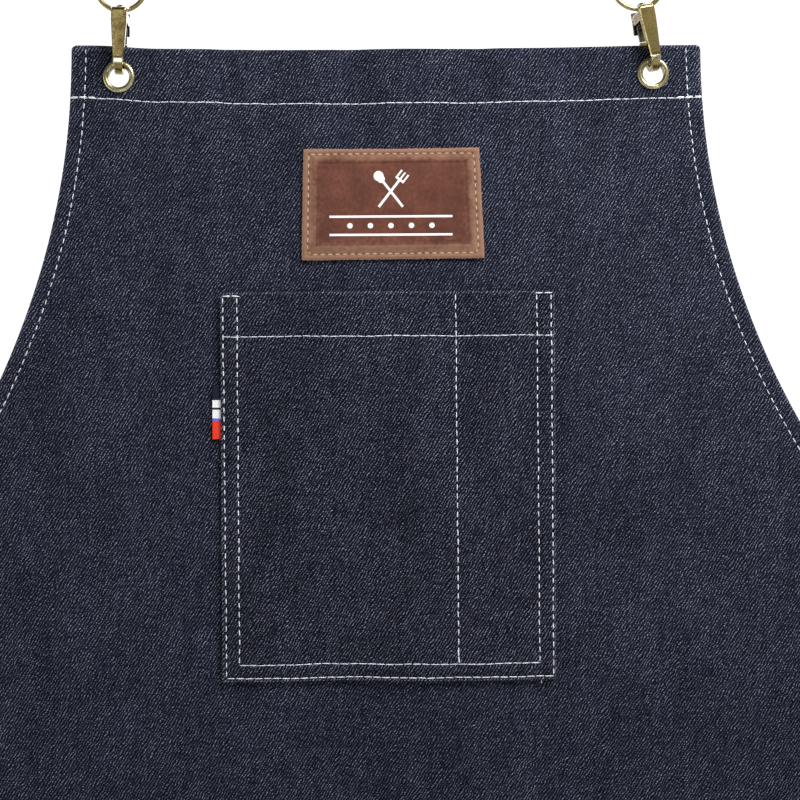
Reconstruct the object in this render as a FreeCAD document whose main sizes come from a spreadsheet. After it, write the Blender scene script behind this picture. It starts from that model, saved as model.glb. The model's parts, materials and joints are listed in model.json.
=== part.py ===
"""A denim work apron hung by its leather neck strap.

The bib hangs from two snap hooks, one through each brass eyelet.  Each hook turns
on a swivel ring, and the neck strap is folded and riveted round both rings.

X runs to the wearer's left as the apron faces the reader, +Z is up and the front
faces -Y.  The origin is the underside of the neck strap at the top of its loop,
where it bears on the peg that it hangs from.  All sizes are in millimetres.
"""

import FreeCAD, Part
import math
import os
import re

import Sketcher
from FreeCAD import Placement, Rotation, Vector

doc = FreeCAD.newDocument("apron")

# ---------------------------------------------------------------- driving sizes
SIZES = [
    ("hang_drop", 294.0, "top edge of the bib, below the peg"),
    ("bib_width", 276.6, "bib at its top edge"),
    ("armhole_radius", 342.4, "curve from the bib out to the waist"),
    ("skirt_width", 680.0, "full width below the waist"),
    ("apron_length", 850.0, "top edge to bottom edge"),
    ("waist_drop", 312.2, "top edge to the waist corners"),
    ("denim", 0.8, "thickness of one layer"),
    ("hem_fold", 1.0, "thickness of a turned hem behind the panel"),
    ("top_hem_depth", 23.0, "top hem, edge to stitch line"),
    ("armhole_hem_width", 8.0, "narrow hem round the armholes"),
    ("skirt_hem_width", 20.0, "hem down the skirt's sides"),
    ("bottom_hem_depth", 25.0, "hem along the bottom"),
    ("row_inset", 2.0, "skirt topstitch, in from its hem's inner edge"),
    ("row_drop", 35.0, "skirt topstitch starts this far below the waist"),
    ("thread_width", 0.7, "topstitching thread"),
    ("thread_rise", 0.35, "how far a thread stands off the cloth"),
    ("hem_stitch_inset", 6.3, "armhole topstitch, in from the edge"),
    ("eyelet_spread", 117.5, "eyelet centre from the middle of the bib"),
    ("eyelet_drop", 12.5, "eyelet centre below the top edge"),
    ("eyelet_bore", 4.5, "radius of the hole"),
    ("hook_back", 0.5, "hook's axis behind the middle of the panel"),
    ("eyelet_rim", 1.33, "radius of the rolled rim's section"),
    ("eyelet_lip", 0.6, "radius of the curled lip over the washer"),
    ("eyelet_barrel", 5.1, "radius of the barrel through the cloth"),
    ("washer_radius", 7.0, "back washer"),
    ("washer_thickness", 0.6, "back washer"),
    ("waist_eyelet_inset", 10.0, "waist eyelet centre from the side edge"),
    ("waist_eyelet_drop", 330.0, "waist eyelet centre below the top edge"),
    ("pocket_width", 146.6, "chest pocket"),
    ("pocket_height", 170.8, "chest pocket"),
    ("pocket_drop", 107.9, "pocket's mouth below the top edge"),
    ("pocket_gape", 6.0, "room between the pocket and the bib"),
    ("pocket_slope", 6.6, "width of the pocket's sloping border"),
    ("pocket_seam", 2.4, "sewn margin round the pocket"),
    ("pocket_divider", 30.5, "pen slot's seam, right of the middle"),
    ("mouth_hem_depth", 20.0, "hem at the pocket's mouth"),
    ("inner_row", 7.7, "inner stitch row, in from the pocket's edge"),
    ("patch_top_width", 77.2, "leather patch, top edge"),
    ("patch_bottom_width", 80.5, "leather patch, bottom edge"),
    ("patch_height", 49.0, "leather patch"),
    ("patch_thickness", 1.6, "leather patch"),
    ("patch_drop", 44.8, "patch below the top edge"),
    ("patch_shift", 1.8, "patch centre, right of the middle"),
    ("patch_stitch_inset", 2.4, "patch stitching, in from its edge"),
    ("mark_rise", 0.15, "thickness of the printed mark"),
    ("tab_width", 3.6, "woven tab, out from the pocket's seam"),
    ("tab_height", 23.5, "woven tab"),
    ("tab_drop", 148.8, "woven tab's top below the top edge"),
    ("tab_thickness", 1.0, "folded ribbon"),
    ("hook_seat", 9.3, "inside of the hook's bend below the top edge"),
    ("throat", 10.0, "width inside the hook"),
    ("spine", 3.0, "thickness of the hook's front bar"),
    ("bend", 1.9, "thickness of the hook's bend"),
    ("tip", 2.4, "thickness of the hook's tip"),
    ("tip_height", 12.1, "tip's end above the bend"),
    ("hook_width", 6.8, "hook's width at its head"),
    ("bar_foot_width", 4.5, "hook's width at the foot of its bar"),
    ("bend_width", 3.4, "hook's width at its bend"),
    ("head_floor", 20.3, "underside of the head above the bend"),
    ("head_top", 24.1, "top of the head above the bend"),
    ("spine_top", 26.4, "top of the front bar above the bend"),
    ("pivot_back", 5.6, "gate pin, back from the hook's axis"),
    ("pivot_height", 22.2, "gate pin above the bend"),
    ("pin_radius", 0.75, "gate pin"),
    ("running_gap", 0.05, "radial clearance of a turning fit"),
    ("ear_reach", 1.9, "head's ears, behind the gate pin"),
    ("ear_round", 1.85, "rounding of the ears"),
    ("end_round", 1.6, "rounding of the bar's top and the tip"),
    ("bar_bevel", 0.55, "bevel down the bar's front edges"),
    ("slot_width", 3.8, "slot in the head for the gate's tongue"),
    ("slot_front", 3.2, "front of the slot, back from the hook's axis"),
    ("gate_width", 5.2, "gate's bar"),
    ("tongue_width", 1.6, "gate's tongue, beside the coil"),
    ("coil_gap", 0.1, "coil spring's room round the pin"),
    ("coil_wire", 0.5, "coil spring's wire"),
    ("ring_radius", 11.1, "swivel ring, to the middle of its wire"),
    ("ring_wire", 1.0, "radius of the ring's wire"),
    ("ring_height", 37.2, "ring's centre above the bend"),
    ("boss_radius", 2.6, "boss at the foot of the ring"),
    ("boss_height", 2.4, "boss at the foot of the ring"),
    ("post_radius", 1.1, "swivel rivet's shank"),
    ("post_head", 2.0, "radius of the swivel rivet's head"),
    ("strap_width", 16.0, "neck strap"),
    ("strap_tongue", 9.0, "width of its ends, through the rings"),
    ("strap_thickness", 2.2, "neck strap"),
    ("peg_radius", 16.0, "inside of the bend over the peg"),
    ("tongue_length", 44.0, "turned-back end of the strap"),
    ("strap_rivet_radius", 1.5, "shank of a strap rivet"),
    ("strap_rivet_head", 3.2, "radius of its head"),
]
ALIASES = {alias for alias, _, _ in SIZES}
# How each hook hangs: lean of its top towards +X, turn about its own length, and
# how far right of its eyelet's centre it sits.
HOOK_LEAN = {"left": 1.5, "right": -10.8}
HOOK_TURN = {"left": 3.5, "right": 5.0}
HOOK_SHIFT = {"left": 0.1, "right": 0.4}
# The strap's legs rise from the rings at this angle from the vertical.
LEG_LEAN = 8.0
SIDE = {"left": -1, "right": 1}
FACING = Rotation(Vector(1, 0, 0), -90)  # turns a primitive's Z axis to +Y

sheet = doc.addObject("Spreadsheet::Sheet", "Sizes")
for row, (alias, value, note) in enumerate(SIZES, start=1):
    sheet.set("A%d" % row, note)
    sheet.set("B%d" % row, str(value))
    sheet.setAlias("B%d" % row, alias)
doc.recompute()

parts = {}


# ---------------------------------------------------------------------- helpers
def mm(alias):
    """A driving size, read from the sheet."""
    return float(sheet.get(alias))


def formula(text):
    """An expression on the sheet, from one that uses bare aliases."""
    def full_name(word):
        return "Sizes." + word[0] if word[0] in ALIASES else word[0]
    return re.sub(r"[a-z_]+", full_name, text)


def bind(thing, **sizes):
    for prop, text in sizes.items():
        thing.setExpression(prop, formula(text))


def put(thing, x, y, z, rotation=Rotation()):
    """Place an object, with each coordinate tied to the sheet."""
    thing.Placement = Placement(Vector(0, 0, 0), rotation)
    for axis, text in zip("xyz", (x, y, z)):
        thing.setExpression("Placement.Base." + axis, formula(text))
    return thing


def box(name, x, y, z, length, width, height):
    thing = doc.addObject("Part::Box", name)
    bind(thing, Length=length, Width=width, Height=height)
    return put(thing, x, y, z)


def rod(name, radius, length, x, y, z, rotation=FACING):
    """A cylinder, along +Y unless it is turned another way."""
    thing = doc.addObject("Part::Cylinder", name)
    bind(thing, Radius=radius, Height=length)
    return put(thing, x, y, z, rotation)


def torus(name, major, minor, x, y, z):
    thing = doc.addObject("Part::Torus", name)
    bind(thing, Radius1=major, Radius2=minor)
    return put(thing, x, y, z, FACING)


def cut(name, base, tool):
    thing = doc.addObject("Part::Cut", name)
    thing.Base = base
    thing.Tool = tool
    return thing


def common(name, base, tool):
    thing = doc.addObject("Part::Common", name)
    thing.Base = base
    thing.Tool = tool
    return thing


def fuse(name, pieces):
    thing = doc.addObject("Part::MultiFuse", name)
    thing.Shapes = pieces
    return thing


def keep(thing, node):
    """Name a finished sub-part: its Label names its file."""
    thing.Label = node
    parts[node] = thing
    return thing


def plane(body, role):
    return next(face for face in body.Origin.OriginFeatures if face.Role == role)


def sketch_on(body, name, role, offset=0.0):
    """A sketch on one of the body's origin planes, lifted along its normal."""
    sketch = body.newObject("Sketcher::SketchObject", name)
    sketch.AttachmentSupport = [(plane(body, role), "")]
    sketch.MapMode = "FlatFace"
    sketch.AttachmentOffset = Placement(Vector(0, 0, offset), Rotation())
    return sketch


def value_of(text):
    """The number that a formula on the sheet's sizes comes to."""
    return float(sheet.evalExpression(text))


def tie(sketch, kind, handles, text):
    """A sketch dimension, tied to the sheet where its formula names a size."""
    row = sketch.addConstraint(Sketcher.Constraint(kind, *handles, value_of(text)))
    if ALIASES & set(re.findall(r"[a-z_]+", text)):
        sketch.setExpression("Constraints[%d]" % row, formula(text))


def outline(sketch, corners):
    """A closed outline of straight runs, each corner tied to the sheet by formulas."""
    points = [Vector(value_of(x), value_of(y), 0) for x, y in corners]
    first = sketch.GeometryCount
    count = len(points)
    for i, point in enumerate(points):
        sketch.addGeometry(Part.LineSegment(point, points[(i + 1) % count]), False)
    for i in range(count):
        end, start = first + i, first + (i + 1) % count
        sketch.addConstraint(Sketcher.Constraint("Coincident", end, 2, start, 1))
    for i, (x, y) in enumerate(corners):
        tie(sketch, "DistanceX", (-1, 1, first + i, 1), x)
        tie(sketch, "DistanceY", (-1, 1, first + i, 1), y)


def circle(sketch, x, y, radius):
    centre = Vector(value_of(x), value_of(y), 0)
    at = sketch.addGeometry(Part.Circle(centre, Vector(0, 0, 1), value_of(radius)))
    tie(sketch, "DistanceX", (-1, 1, at, 3), x)
    tie(sketch, "DistanceY", (-1, 1, at, 3), y)
    tie(sketch, "Radius", (at,), radius)


def pad(body, sketch, length, symmetric=False):
    thing = body.newObject("PartDesign::Pad", sketch.Name + "Pad")
    thing.Profile = sketch
    if symmetric:
        thing.SideType = "Symmetric"
    bind(thing, Length=length)
    return thing


def pocket(body, sketch, length, symmetric=False):
    thing = body.newObject("PartDesign::Pocket", sketch.Name + "Pocket")
    thing.Profile = sketch
    if symmetric:
        thing.SideType = "Symmetric"
    bind(thing, Length=length)
    return thing


def round_edges(body, base, size, chosen, kind="Fillet"):
    """Round or bevel the edges of a feature that a test on each edge picks."""
    doc.recompute()
    names = ["Edge%d" % (i + 1) for i, edge in enumerate(base.Shape.Edges) if chosen(edge)]
    thing = body.newObject("PartDesign::" + kind, base.Name + kind)
    thing.Base = (base, names)
    bind(thing, **{"Radius" if kind == "Fillet" else "Size": size})
    return thing


def corner_at(y, z):
    """A test for the edges that run along X at a place in the YZ plane."""
    def chosen(edge):
        ends = [vertex.Point for vertex in edge.Vertexes]
        return len(ends) == 2 and all(math.hypot(p.y - y, p.z - z) < 1e-3 for p in ends)
    return chosen


# ------------------------------------------------------------------------ cloth
FRONT = "-denim / 2"            # the panel's front face
BACK = "denim / 2"              # its back face
HEM_BACK = "denim / 2 + hem_fold"
ARMHOLE_X = "(bib_width / 2 + armhole_radius)"


CUT_START, CUT_DEPTH = "-4", "8"  # a cut that goes right through the cloth


def armhole(name, side, extra, y=CUT_START, depth=CUT_DEPTH):
    """A disc round an armhole's centre, this much larger than the armhole."""
    sign = "-" if side == "left" else ""
    return rod(name, "armhole_radius + " + extra, depth, sign + ARMHOLE_X, y, "-hang_drop")


def armhole_band(name, side, inner, outer, y, thickness, region):
    """A curved strip that follows an armhole, kept to a box."""
    big = armhole(name + "_outer", side, outer, y, thickness)
    small = armhole(name + "_inner", side, inner, y, thickness)
    return common(name, cut(name + "_band", big, small), region)


def eyelet_hole(name, side, spread, drop):
    x = ("-" if side == "left" else "") + "(" + spread + ")"
    return rod(name, "eyelet_barrel", CUT_DEPTH, x, CUT_START, "-hang_drop - " + drop)


WAIST_SPREAD = "skirt_width / 2 - waist_eyelet_inset"
EYELETS = {"": ("eyelet_spread", "eyelet_drop"), "waist_": (WAIST_SPREAD, "waist_eyelet_drop")}


def make_panel():
    """The apron's single layer of denim, with its armholes and eyelet holes."""
    blank = box("panel_blank", "-skirt_width / 2", FRONT, "-hang_drop - apron_length",
                "skirt_width", "denim", "apron_length")
    waste = [armhole("armhole_" + side, side, "0") for side in SIDE]
    for prefix, (spread, drop) in EYELETS.items():
        for side in SIDE:
            waste.append(eyelet_hole(prefix + "hole_" + side, side, spread, drop))
    keep(cut("panel", blank, fuse("panel_waste", waste)), "apron_panel")


def make_hems():
    """Turned hems behind the panel, and the topstitching in front of it."""
    top = box("top_hem_blank", "-skirt_width / 2", BACK, "-hang_drop - top_hem_depth",
              "skirt_width", "hem_fold", "top_hem_depth")
    waste = [armhole("hem_armhole_" + side, side, "0") for side in SIDE]
    waste += [eyelet_hole("hem_hole_" + side, side, *EYELETS[""]) for side in SIDE]
    keep(cut("top_hem_cut", top, fuse("top_hem_waste", waste)), "top_hem")

    row = box("top_row_blank", "-skirt_width / 2", FRONT + " - thread_rise",
              "-hang_drop - top_hem_depth", "skirt_width", "thread_rise", "thread_width")
    ends = [armhole("row_armhole_" + side, side, "hem_stitch_inset + thread_width")
            for side in SIDE]
    keep(cut("top_row", row, fuse("top_row_ends", ends)), "top_hem_thread")

    for side, sign in SIDE.items():
        low = "-hang_drop - waist_drop"
        start = "-skirt_width / 2" if side == "left" else "0"
        region = box("hem_region_" + side, start, BACK, low, "skirt_width / 2", "hem_fold",
                     "waist_drop - top_hem_depth")
        band = armhole_band("armhole_hem_band_" + side, side, "0", "armhole_hem_width", BACK,
                            "hem_fold", region)
        keep(band, "armhole_hem_" + side)

        edge = "-skirt_width / 2 + skirt_hem_width" if side == "left" else "0"
        region = box("row_region_" + side, edge, FRONT + " - thread_rise", low,
                     "skirt_width / 2 - skirt_hem_width", "thread_rise", "waist_drop")
        row = armhole_band("armhole_row_" + side, side, "hem_stitch_inset",
                           "hem_stitch_inset + thread_width", FRONT + " - thread_rise",
                           "thread_rise", region)
        keep(row, "armhole_thread_" + side)

        x = "-skirt_width / 2" if side == "left" else "skirt_width / 2 - skirt_hem_width"
        strip = box("skirt_strip_" + side, x, BACK, "-hang_drop - apron_length + bottom_hem_depth",
                    "skirt_hem_width", "hem_fold", "apron_length - bottom_hem_depth - waist_drop")
        hole = eyelet_hole("skirt_hole_" + side, side, *EYELETS["waist_"])
        keep(cut("skirt_hem_cut_" + side, strip, hole), "skirt_hem_" + side)

    bottom = box("bottom_strip", "-skirt_width / 2", BACK, "-hang_drop - apron_length",
                 "skirt_width", "hem_fold", "bottom_hem_depth")
    keep(bottom, "bottom_hem")

    inset = "skirt_width / 2 - skirt_hem_width + row_inset"
    foot = "-hang_drop - apron_length + bottom_hem_depth - row_inset"
    rows = [box("bottom_row", "-(" + inset + ")", FRONT + " - thread_rise", foot,
                "2 * (" + inset + ")", "thread_rise", "thread_width")]
    for side, x in (("left", "-(" + inset + ")"), ("right", inset + " - thread_width")):
        rows.append(box("skirt_row_" + side, x, FRONT + " - thread_rise", foot, "thread_width",
                        "thread_rise",
                        "apron_length - waist_drop - bottom_hem_depth + row_inset - row_drop"))
    keep(fuse("skirt_rows", rows), "skirt_thread")


def make_eyelets():
    """Rolled brass eyelets: a domed rim in front, a barrel, and a lip over a washer."""
    washer_back = HEM_BACK + " + washer_thickness"
    for prefix, (spread, drop) in EYELETS.items():
        for side in SIDE:
            tag = prefix + side
            x = ("-" if side == "left" else "") + "(" + spread + ")"
            z = "-hang_drop - " + drop
            dome = torus("dome_" + tag, "eyelet_bore + eyelet_rim", "eyelet_rim", x, FRONT, z)
            behind = rod("behind_" + tag, "20", "10", x, FRONT, z)
            rim = cut("rim_" + tag, dome, behind)
            barrel = rod("barrel_" + tag, "eyelet_barrel",
                         HEM_BACK + " + washer_thickness + denim / 2", x, FRONT, z)
            curl = torus("curl_" + tag, "eyelet_barrel + 0.2", "eyelet_lip", x, washer_back, z)
            ahead = rod("ahead_" + tag, "20", "10", x, washer_back + " - 10", z)
            solid = fuse("eyelet_solid_" + tag, [rim, barrel, cut("lip_" + tag, curl, ahead)])
            bore = rod("bore_" + tag, "eyelet_bore", "16", x, "-8", z)
            keep(cut("eyelet_cut_" + tag, solid, bore), prefix + "eyelet_" + side)
            disc = rod("disc_" + tag, "washer_radius", "washer_thickness", x, HEM_BACK, z)
            hole = rod("washer_hole_" + tag, "eyelet_barrel", "16", x, "-8", z)
            keep(cut("washer_cut_" + tag, disc, hole), prefix + "washer_" + side)


def wedge(name, x_low, x_high, margin, slope, y_front, y_back, z_low, z_high):
    """A tapered block: its front face is smaller by the slope at both sides and the foot."""
    thing = doc.addObject("Part::Wedge", name)
    inner = margin + " + " + slope
    bind(thing, Xmin=x_low + " + " + inner, Xmax=x_high + " - (" + inner + ")",
         X2min=x_low + " + " + margin, X2max=x_high + " - (" + margin + ")",
         Ymin=y_front, Ymax=y_back,
         Zmin=z_low + " + " + inner, Zmax=z_high,
         Z2min=z_low + " + " + margin, Z2max=z_high)
    return thing


POCKET_LEFT = "-pocket_width / 2"
POCKET_RIGHT = "pocket_width / 2"
POCKET_TOP = "-hang_drop - pocket_drop"
POCKET_FOOT = "-hang_drop - pocket_drop - pocket_height"
COMPARTMENTS = {"main": (POCKET_LEFT, "pocket_divider"), "pen": ("pocket_divider", POCKET_RIGHT)}


def make_pocket():
    """A patch pocket, seamed at the sides, foot and divider, that gapes a little."""
    skins = []
    hollows = []
    hems = []
    for name, (left, right) in COMPARTMENTS.items():
        skins.append(wedge(name + "_skin", left, right, "0", "pocket_slope",
                           FRONT + " - pocket_gape - denim", FRONT, POCKET_FOOT, POCKET_TOP))
        hollows.append(wedge(name + "_hollow", left, right, "pocket_seam",
                             "(pocket_slope - pocket_seam / 2)", FRONT + " - pocket_gape",
                             FRONT, POCKET_FOOT, POCKET_TOP + " + 1"))
        hems.append(box(name + "_mouth", left + " + pocket_slope + pocket_seam",
                        FRONT + " - pocket_gape", POCKET_TOP + " - mouth_hem_depth",
                        "(" + right + ") - (" + left + ") - 2 * (pocket_slope + pocket_seam)",
                        "denim", "mouth_hem_depth"))
    skins.append(box("divider_seam", "pocket_divider - pocket_seam", FRONT + " - denim",
                     POCKET_FOOT, "2 * pocket_seam", "denim", "pocket_height"))
    keep(cut("pocket_cut", fuse("pocket_skin", skins), fuse("pocket_hollow", hollows)), "pocket")
    keep(fuse("mouth_hems", hems), "pocket_mouth_hem")


def slanted_row(name, side, inset):
    """A vertical stitch row that lies on the pocket's sloping border."""
    x = POCKET_LEFT + " + " + inset
    if side == "right":
        x = POCKET_RIGHT + " - " + inset + " - thread_width"
    y = FRONT + " - thread_rise - " + inset + " * (pocket_gape + denim) / pocket_slope"
    if inset == "inner_row":
        y = FRONT + " - pocket_gape - denim - thread_rise"
    return box(name, x, y, POCKET_FOOT + " + pocket_slope + 1", "thread_width", "thread_rise",
               "pocket_height - pocket_slope - 2")


def make_pocket_thread():
    """The rows on the pocket's raised face: two inner sides, foot and mouth hem."""
    face = FRONT + " - pocket_gape - denim - thread_rise"
    rows = [slanted_row("inner_row_" + side, side, "inner_row") for side in SIDE]
    across = "pocket_divider - pocket_slope - inner_row + pocket_width / 2"
    for label, z in (("foot", POCKET_FOOT + " + inner_row + 1"),
                     ("mouth", POCKET_TOP + " - mouth_hem_depth")):
        rows.append(box(label + "_row_main", POCKET_LEFT + " + inner_row", face, z, across,
                        "thread_rise", "thread_width"))
        rows.append(box(label + "_row_pen", "pocket_divider + pocket_slope", face, z,
                        "pocket_width / 2 - pocket_divider - pocket_slope - inner_row",
                        "thread_rise", "thread_width"))
    keep(fuse("pocket_rows", rows), "pocket_thread")


def make_tab():
    tab = box("tab_ribbon", POCKET_LEFT + " - tab_width", FRONT + " - tab_thickness",
              "-hang_drop - tab_drop - tab_height", "tab_width", "tab_thickness", "tab_height")
    keep(tab, "side_tab")


# ---------------------------------------------------------------- leather patch
PATCH_MID = "(-hang_drop - patch_drop - patch_height / 2)"


def make_patch():
    """A leather patch, a little wider at its foot, on the bib's front face."""
    body = doc.addObject("PartDesign::Body", "patch_body")
    shape = sketch_on(body, "patch_outline", "XZ_Plane")
    outline(shape, [("-patch_bottom_width / 2", "-patch_height / 2"),
                    ("patch_bottom_width / 2", "-patch_height / 2"),
                    ("patch_top_width / 2", "patch_height / 2"),
                    ("-patch_top_width / 2", "patch_height / 2")])
    pad(body, shape, "patch_thickness")
    keep(put(body, "patch_shift", FRONT, PATCH_MID), "leather_patch")


def make_patch_thread():
    """One row of stitching round the patch, a frame of four thin runs."""
    rise = FRONT + " - patch_thickness - thread_rise"
    half = "(patch_top_width / 2 - patch_stitch_inset)"
    tall = "(patch_height / 2 - patch_stitch_inset)"
    outer = box("patch_row_outer", "patch_shift - " + half, rise, PATCH_MID + " - " + tall,
                "2 * " + half, "thread_rise", "2 * " + tall)
    inner = box("patch_row_inner", "patch_shift - " + half + " + thread_width", rise,
                PATCH_MID + " - " + tall + " + thread_width",
                "2 * " + half + " - 2 * thread_width", "thread_rise",
                "2 * " + tall + " - 2 * thread_width")
    keep(cut("patch_row", outer, inner), "patch_thread")


# The mark's strokes are 1.1 wide; its own sizes are only looks, so they stay here.
MARK_FRONT = FRONT + " - patch_thickness - mark_rise"
MARK_CROSSING = PATCH_MID + " + 5.5"   # where the spoon and fork cross
MARK_LEAN = 38.0                       # degrees that each leans
MARK_REACH = 8.6                       # from the crossing to the end of a handle
RULES = {"upper": 6.0, "lower": 14.0}  # below the patch's middle
RULE_LENGTH = 54.0


def mark_bar(name, lean, across, along, width, length):
    """A bar of the mark that runs up a leaning line through the crossing."""
    corner = lean.multVec(Vector(across - width / 2, 0, along))
    bar = box(name, "0", "0", "0", "%g" % width, "mark_rise", "%g" % length)
    return put(bar, "patch_shift + (%.4f)" % corner.x, MARK_FRONT,
               MARK_CROSSING + " + (%.4f)" % corner.z, lean)


def mark_spoon(lean):
    """A handle and a bowl of two circles, which overlap into an egg."""
    pieces = [mark_bar("spoon_handle", lean, 0, -MARK_REACH, 1.1, 2 * MARK_REACH - 1)]
    for name, radius, along in (("tip", 2.2, MARK_REACH), ("heel", 1.7, MARK_REACH - 1.7)):
        middle = lean.multVec(Vector(0, 0, along))
        pieces.append(rod("spoon_" + name, "%g" % radius, "mark_rise",
                          "patch_shift + (%.4f)" % middle.x, MARK_FRONT,
                          MARK_CROSSING + " + (%.4f)" % middle.z))
    return pieces


def mark_fork(lean):
    """A handle, a shoulder and three tines."""
    pieces = [mark_bar("fork_handle", lean, 0, -MARK_REACH, 1.1, 2 * MARK_REACH - 2),
              mark_bar("fork_shoulder", lean, 0, MARK_REACH - 2.6, 4.4, 1.0)]
    for name, across in (("left", -1.8), ("middle", 0.0), ("right", 1.8)):
        pieces.append(mark_bar("fork_tine_" + name, lean, across, MARK_REACH - 2.2, 0.8, 4.0))
    return pieces


def make_patch_mark():
    """A plain printed mark: a crossed spoon and fork over two rules and a row of dots."""
    pieces = mark_spoon(Rotation(Vector(0, 1, 0), -MARK_LEAN))
    pieces += mark_fork(Rotation(Vector(0, 1, 0), MARK_LEAN))
    for name, drop in RULES.items():
        pieces.append(box("rule_" + name, "patch_shift - %g" % (RULE_LENGTH / 2), MARK_FRONT,
                          PATCH_MID + " - %g" % drop, "%g" % RULE_LENGTH, "mark_rise", "1"))
    dots_drop = (RULES["upper"] + RULES["lower"] - 1) / 2
    for number in range(-2, 3):
        pieces.append(rod("dot_%d" % (number + 3), "1.2", "mark_rise",
                          "patch_shift + (%g)" % (number * 9), MARK_FRONT,
                          PATCH_MID + " - %g" % dots_drop))
    keep(fuse("mark_pieces", pieces), "patch_mark")


# ------------------------------------------------------------------- snap hooks
# Each snap is modelled about the inside of its bend: Y runs through the eyelet and
# Z up the hook.  A seat then leans it, turns it and lifts it to its eyelet.
def contact(side):
    x = SIDE[side] * mm("eyelet_spread") + HOOK_SHIFT[side]
    return Vector(x, mm("hook_back"), -mm("hang_drop") - mm("hook_seat"))


def lean_of(side):
    return Rotation(Vector(0, 1, 0), HOOK_LEAN[side])


def ring_seat(side):
    return Placement(contact(side), lean_of(side))


def hook_seat(side):
    return ring_seat(side).multiply(Placement(Vector(), Rotation(Vector(0, 0, 1), HOOK_TURN[side])))


def make_hook(side):
    """The cast body: front bar, bend, tip, and the head that the rivet turns in."""
    body = doc.addObject("PartDesign::Body", "hook_body_" + side)
    front = "-throat / 2 - spine"
    ear_back = "pivot_back + ear_reach"
    shape = sketch_on(body, "hook_side_" + side, "YZ_Plane")
    outline(shape, [(front, "spine_top"), (front, "-bend"),
                    ("throat / 2 + tip", "-bend"), ("throat / 2 + tip", "tip_height"),
                    ("throat / 2", "tip_height"), ("throat / 2", "0"),
                    ("-throat / 2", "0"), ("-throat / 2", "head_floor"),
                    (ear_back, "head_floor"), (ear_back, "head_top"),
                    ("-throat / 2", "head_top"), ("-throat / 2", "spine_top")])
    blank = pad(body, shape, "hook_width", symmetric=True)

    half = mm("throat") / 2
    outer = [corner_at(-half - mm("spine"), -mm("bend")), corner_at(half + mm("tip"), -mm("bend"))]
    bend = round_edges(body, blank, "throat / 2 + bend", lambda edge: any(f(edge) for f in outer))
    inner = [corner_at(-half, 0), corner_at(half, 0)]
    bend = round_edges(body, bend, "throat / 2 - 0.05", lambda edge: any(f(edge) for f in inner))
    back = mm("pivot_back") + mm("ear_reach")
    ears = [corner_at(back, mm("head_floor")), corner_at(back, mm("head_top"))]
    bend = round_edges(body, bend, "ear_round", lambda edge: any(f(edge) for f in ears))
    ends = [corner_at(-half - mm("spine"), mm("spine_top")),
            corner_at(half + mm("tip"), mm("tip_height"))]
    bend = round_edges(body, bend, "end_round", lambda edge: any(f(edge) for f in ends))

    for hand, sign in SIDE.items():
        waste = sketch_on(body, "hook_taper_%s_%s" % (side, hand), "XZ_Plane")
        edge = [("hook_width / 2", "head_floor"), ("bar_foot_width / 2", "3"),
                ("bend_width / 2", "0.6"),
                ("bend_width / 2", "-bend - 1"), ("hook_width / 2 + 1", "-bend - 1"),
                ("hook_width / 2 + 1", "head_floor")]
        outline(waste, [(("-(" + x + ")") if sign < 0 else x, z) for x, z in edge])
        pocket(body, waste, "60", symmetric=True)

    slot = sketch_on(body, "hook_slot_" + side, "YZ_Plane")
    slot_back = "pivot_back + ear_reach + 4"
    outline(slot, [("slot_front", "head_floor - 1"), (slot_back, "head_floor - 1"),
                   (slot_back, "head_top + 1"), ("slot_front", "head_top + 1")])
    pocket(body, slot, "slot_width", symmetric=True)
    pin = sketch_on(body, "hook_pin_hole_" + side, "YZ_Plane")
    circle(pin, "pivot_back", "pivot_height", "pin_radius")
    pocket(body, pin, "20", symmetric=True)
    post = sketch_on(body, "hook_post_hole_" + side, "XY_Plane", offset=mm("head_top") + 1)
    circle(post, "0", "0", "post_radius")
    hole = pocket(body, post, "head_top + 2 - head_floor")
    doc.recompute()

    front_y = -half - mm("spine")

    def on_front_face(edge):
        ends = [vertex.Point for vertex in edge.Vertexes]
        flat = all(abs(p.y - front_y) < 1e-3 for p in ends)
        return flat and len(ends) == 2 and abs(ends[0].z - ends[1].z) > 5
    round_edges(body, hole, "bar_bevel", on_front_face, kind="Chamfer")
    body.Placement = hook_seat(side)
    keep(body, "snap_hook_" + side)


def make_gate(side):
    """The sprung gate: a bar that closes on the tip, a thumb plate, and a tongue."""
    body = doc.addObject("PartDesign::Body", "gate_body_" + side)
    bar = sketch_on(body, "gate_bar_" + side, "YZ_Plane")
    outline(bar, [("4.6", "tip_height + 0.4"), ("6.1", "tip_height + 0.4"),
                  ("6.5", "19.3"), ("4.6", "19.3")])
    pad(body, bar, "gate_width", symmetric=True)
    tongue_start = -(mm("tongue_width") + 0.1)
    tongue = sketch_on(body, "gate_tongue_" + side, "YZ_Plane", offset=tongue_start)
    outline(tongue, [("4.7", "16.5"), ("6.4", "16.5"), ("8.6", "20.2"), ("8.4", "24"),
                     ("6.2", "24"), ("4.1", "22.6"), ("4.3", "20.4")])
    pad(body, tongue, "tongue_width")
    plate = sketch_on(body, "gate_plate_" + side, "YZ_Plane")
    outline(plate, [("9.4", "16.4"), ("10.5", "16.9"), ("9", "22"), ("8.8", "25.9"),
                    ("7.9", "26.2"), ("7.8", "21.6")])
    pad(body, plate, "hook_width", symmetric=True)
    hole = sketch_on(body, "gate_hole_" + side, "YZ_Plane")
    circle(hole, "pivot_back", "pivot_height", "pin_radius + running_gap")
    pocket(body, hole, "20", symmetric=True)
    body.Placement = hook_seat(side)
    keep(body, "gate_" + side)


ALONG_X = Rotation(Vector(0, 1, 0), 90)


def carry(name, thing, placement):
    """Carry a primitive that has its own local place to where its snap hangs."""
    carried = doc.addObject("Part::Compound", name)
    carried.Links = [thing]
    carried.Placement = placement
    return carried


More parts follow.
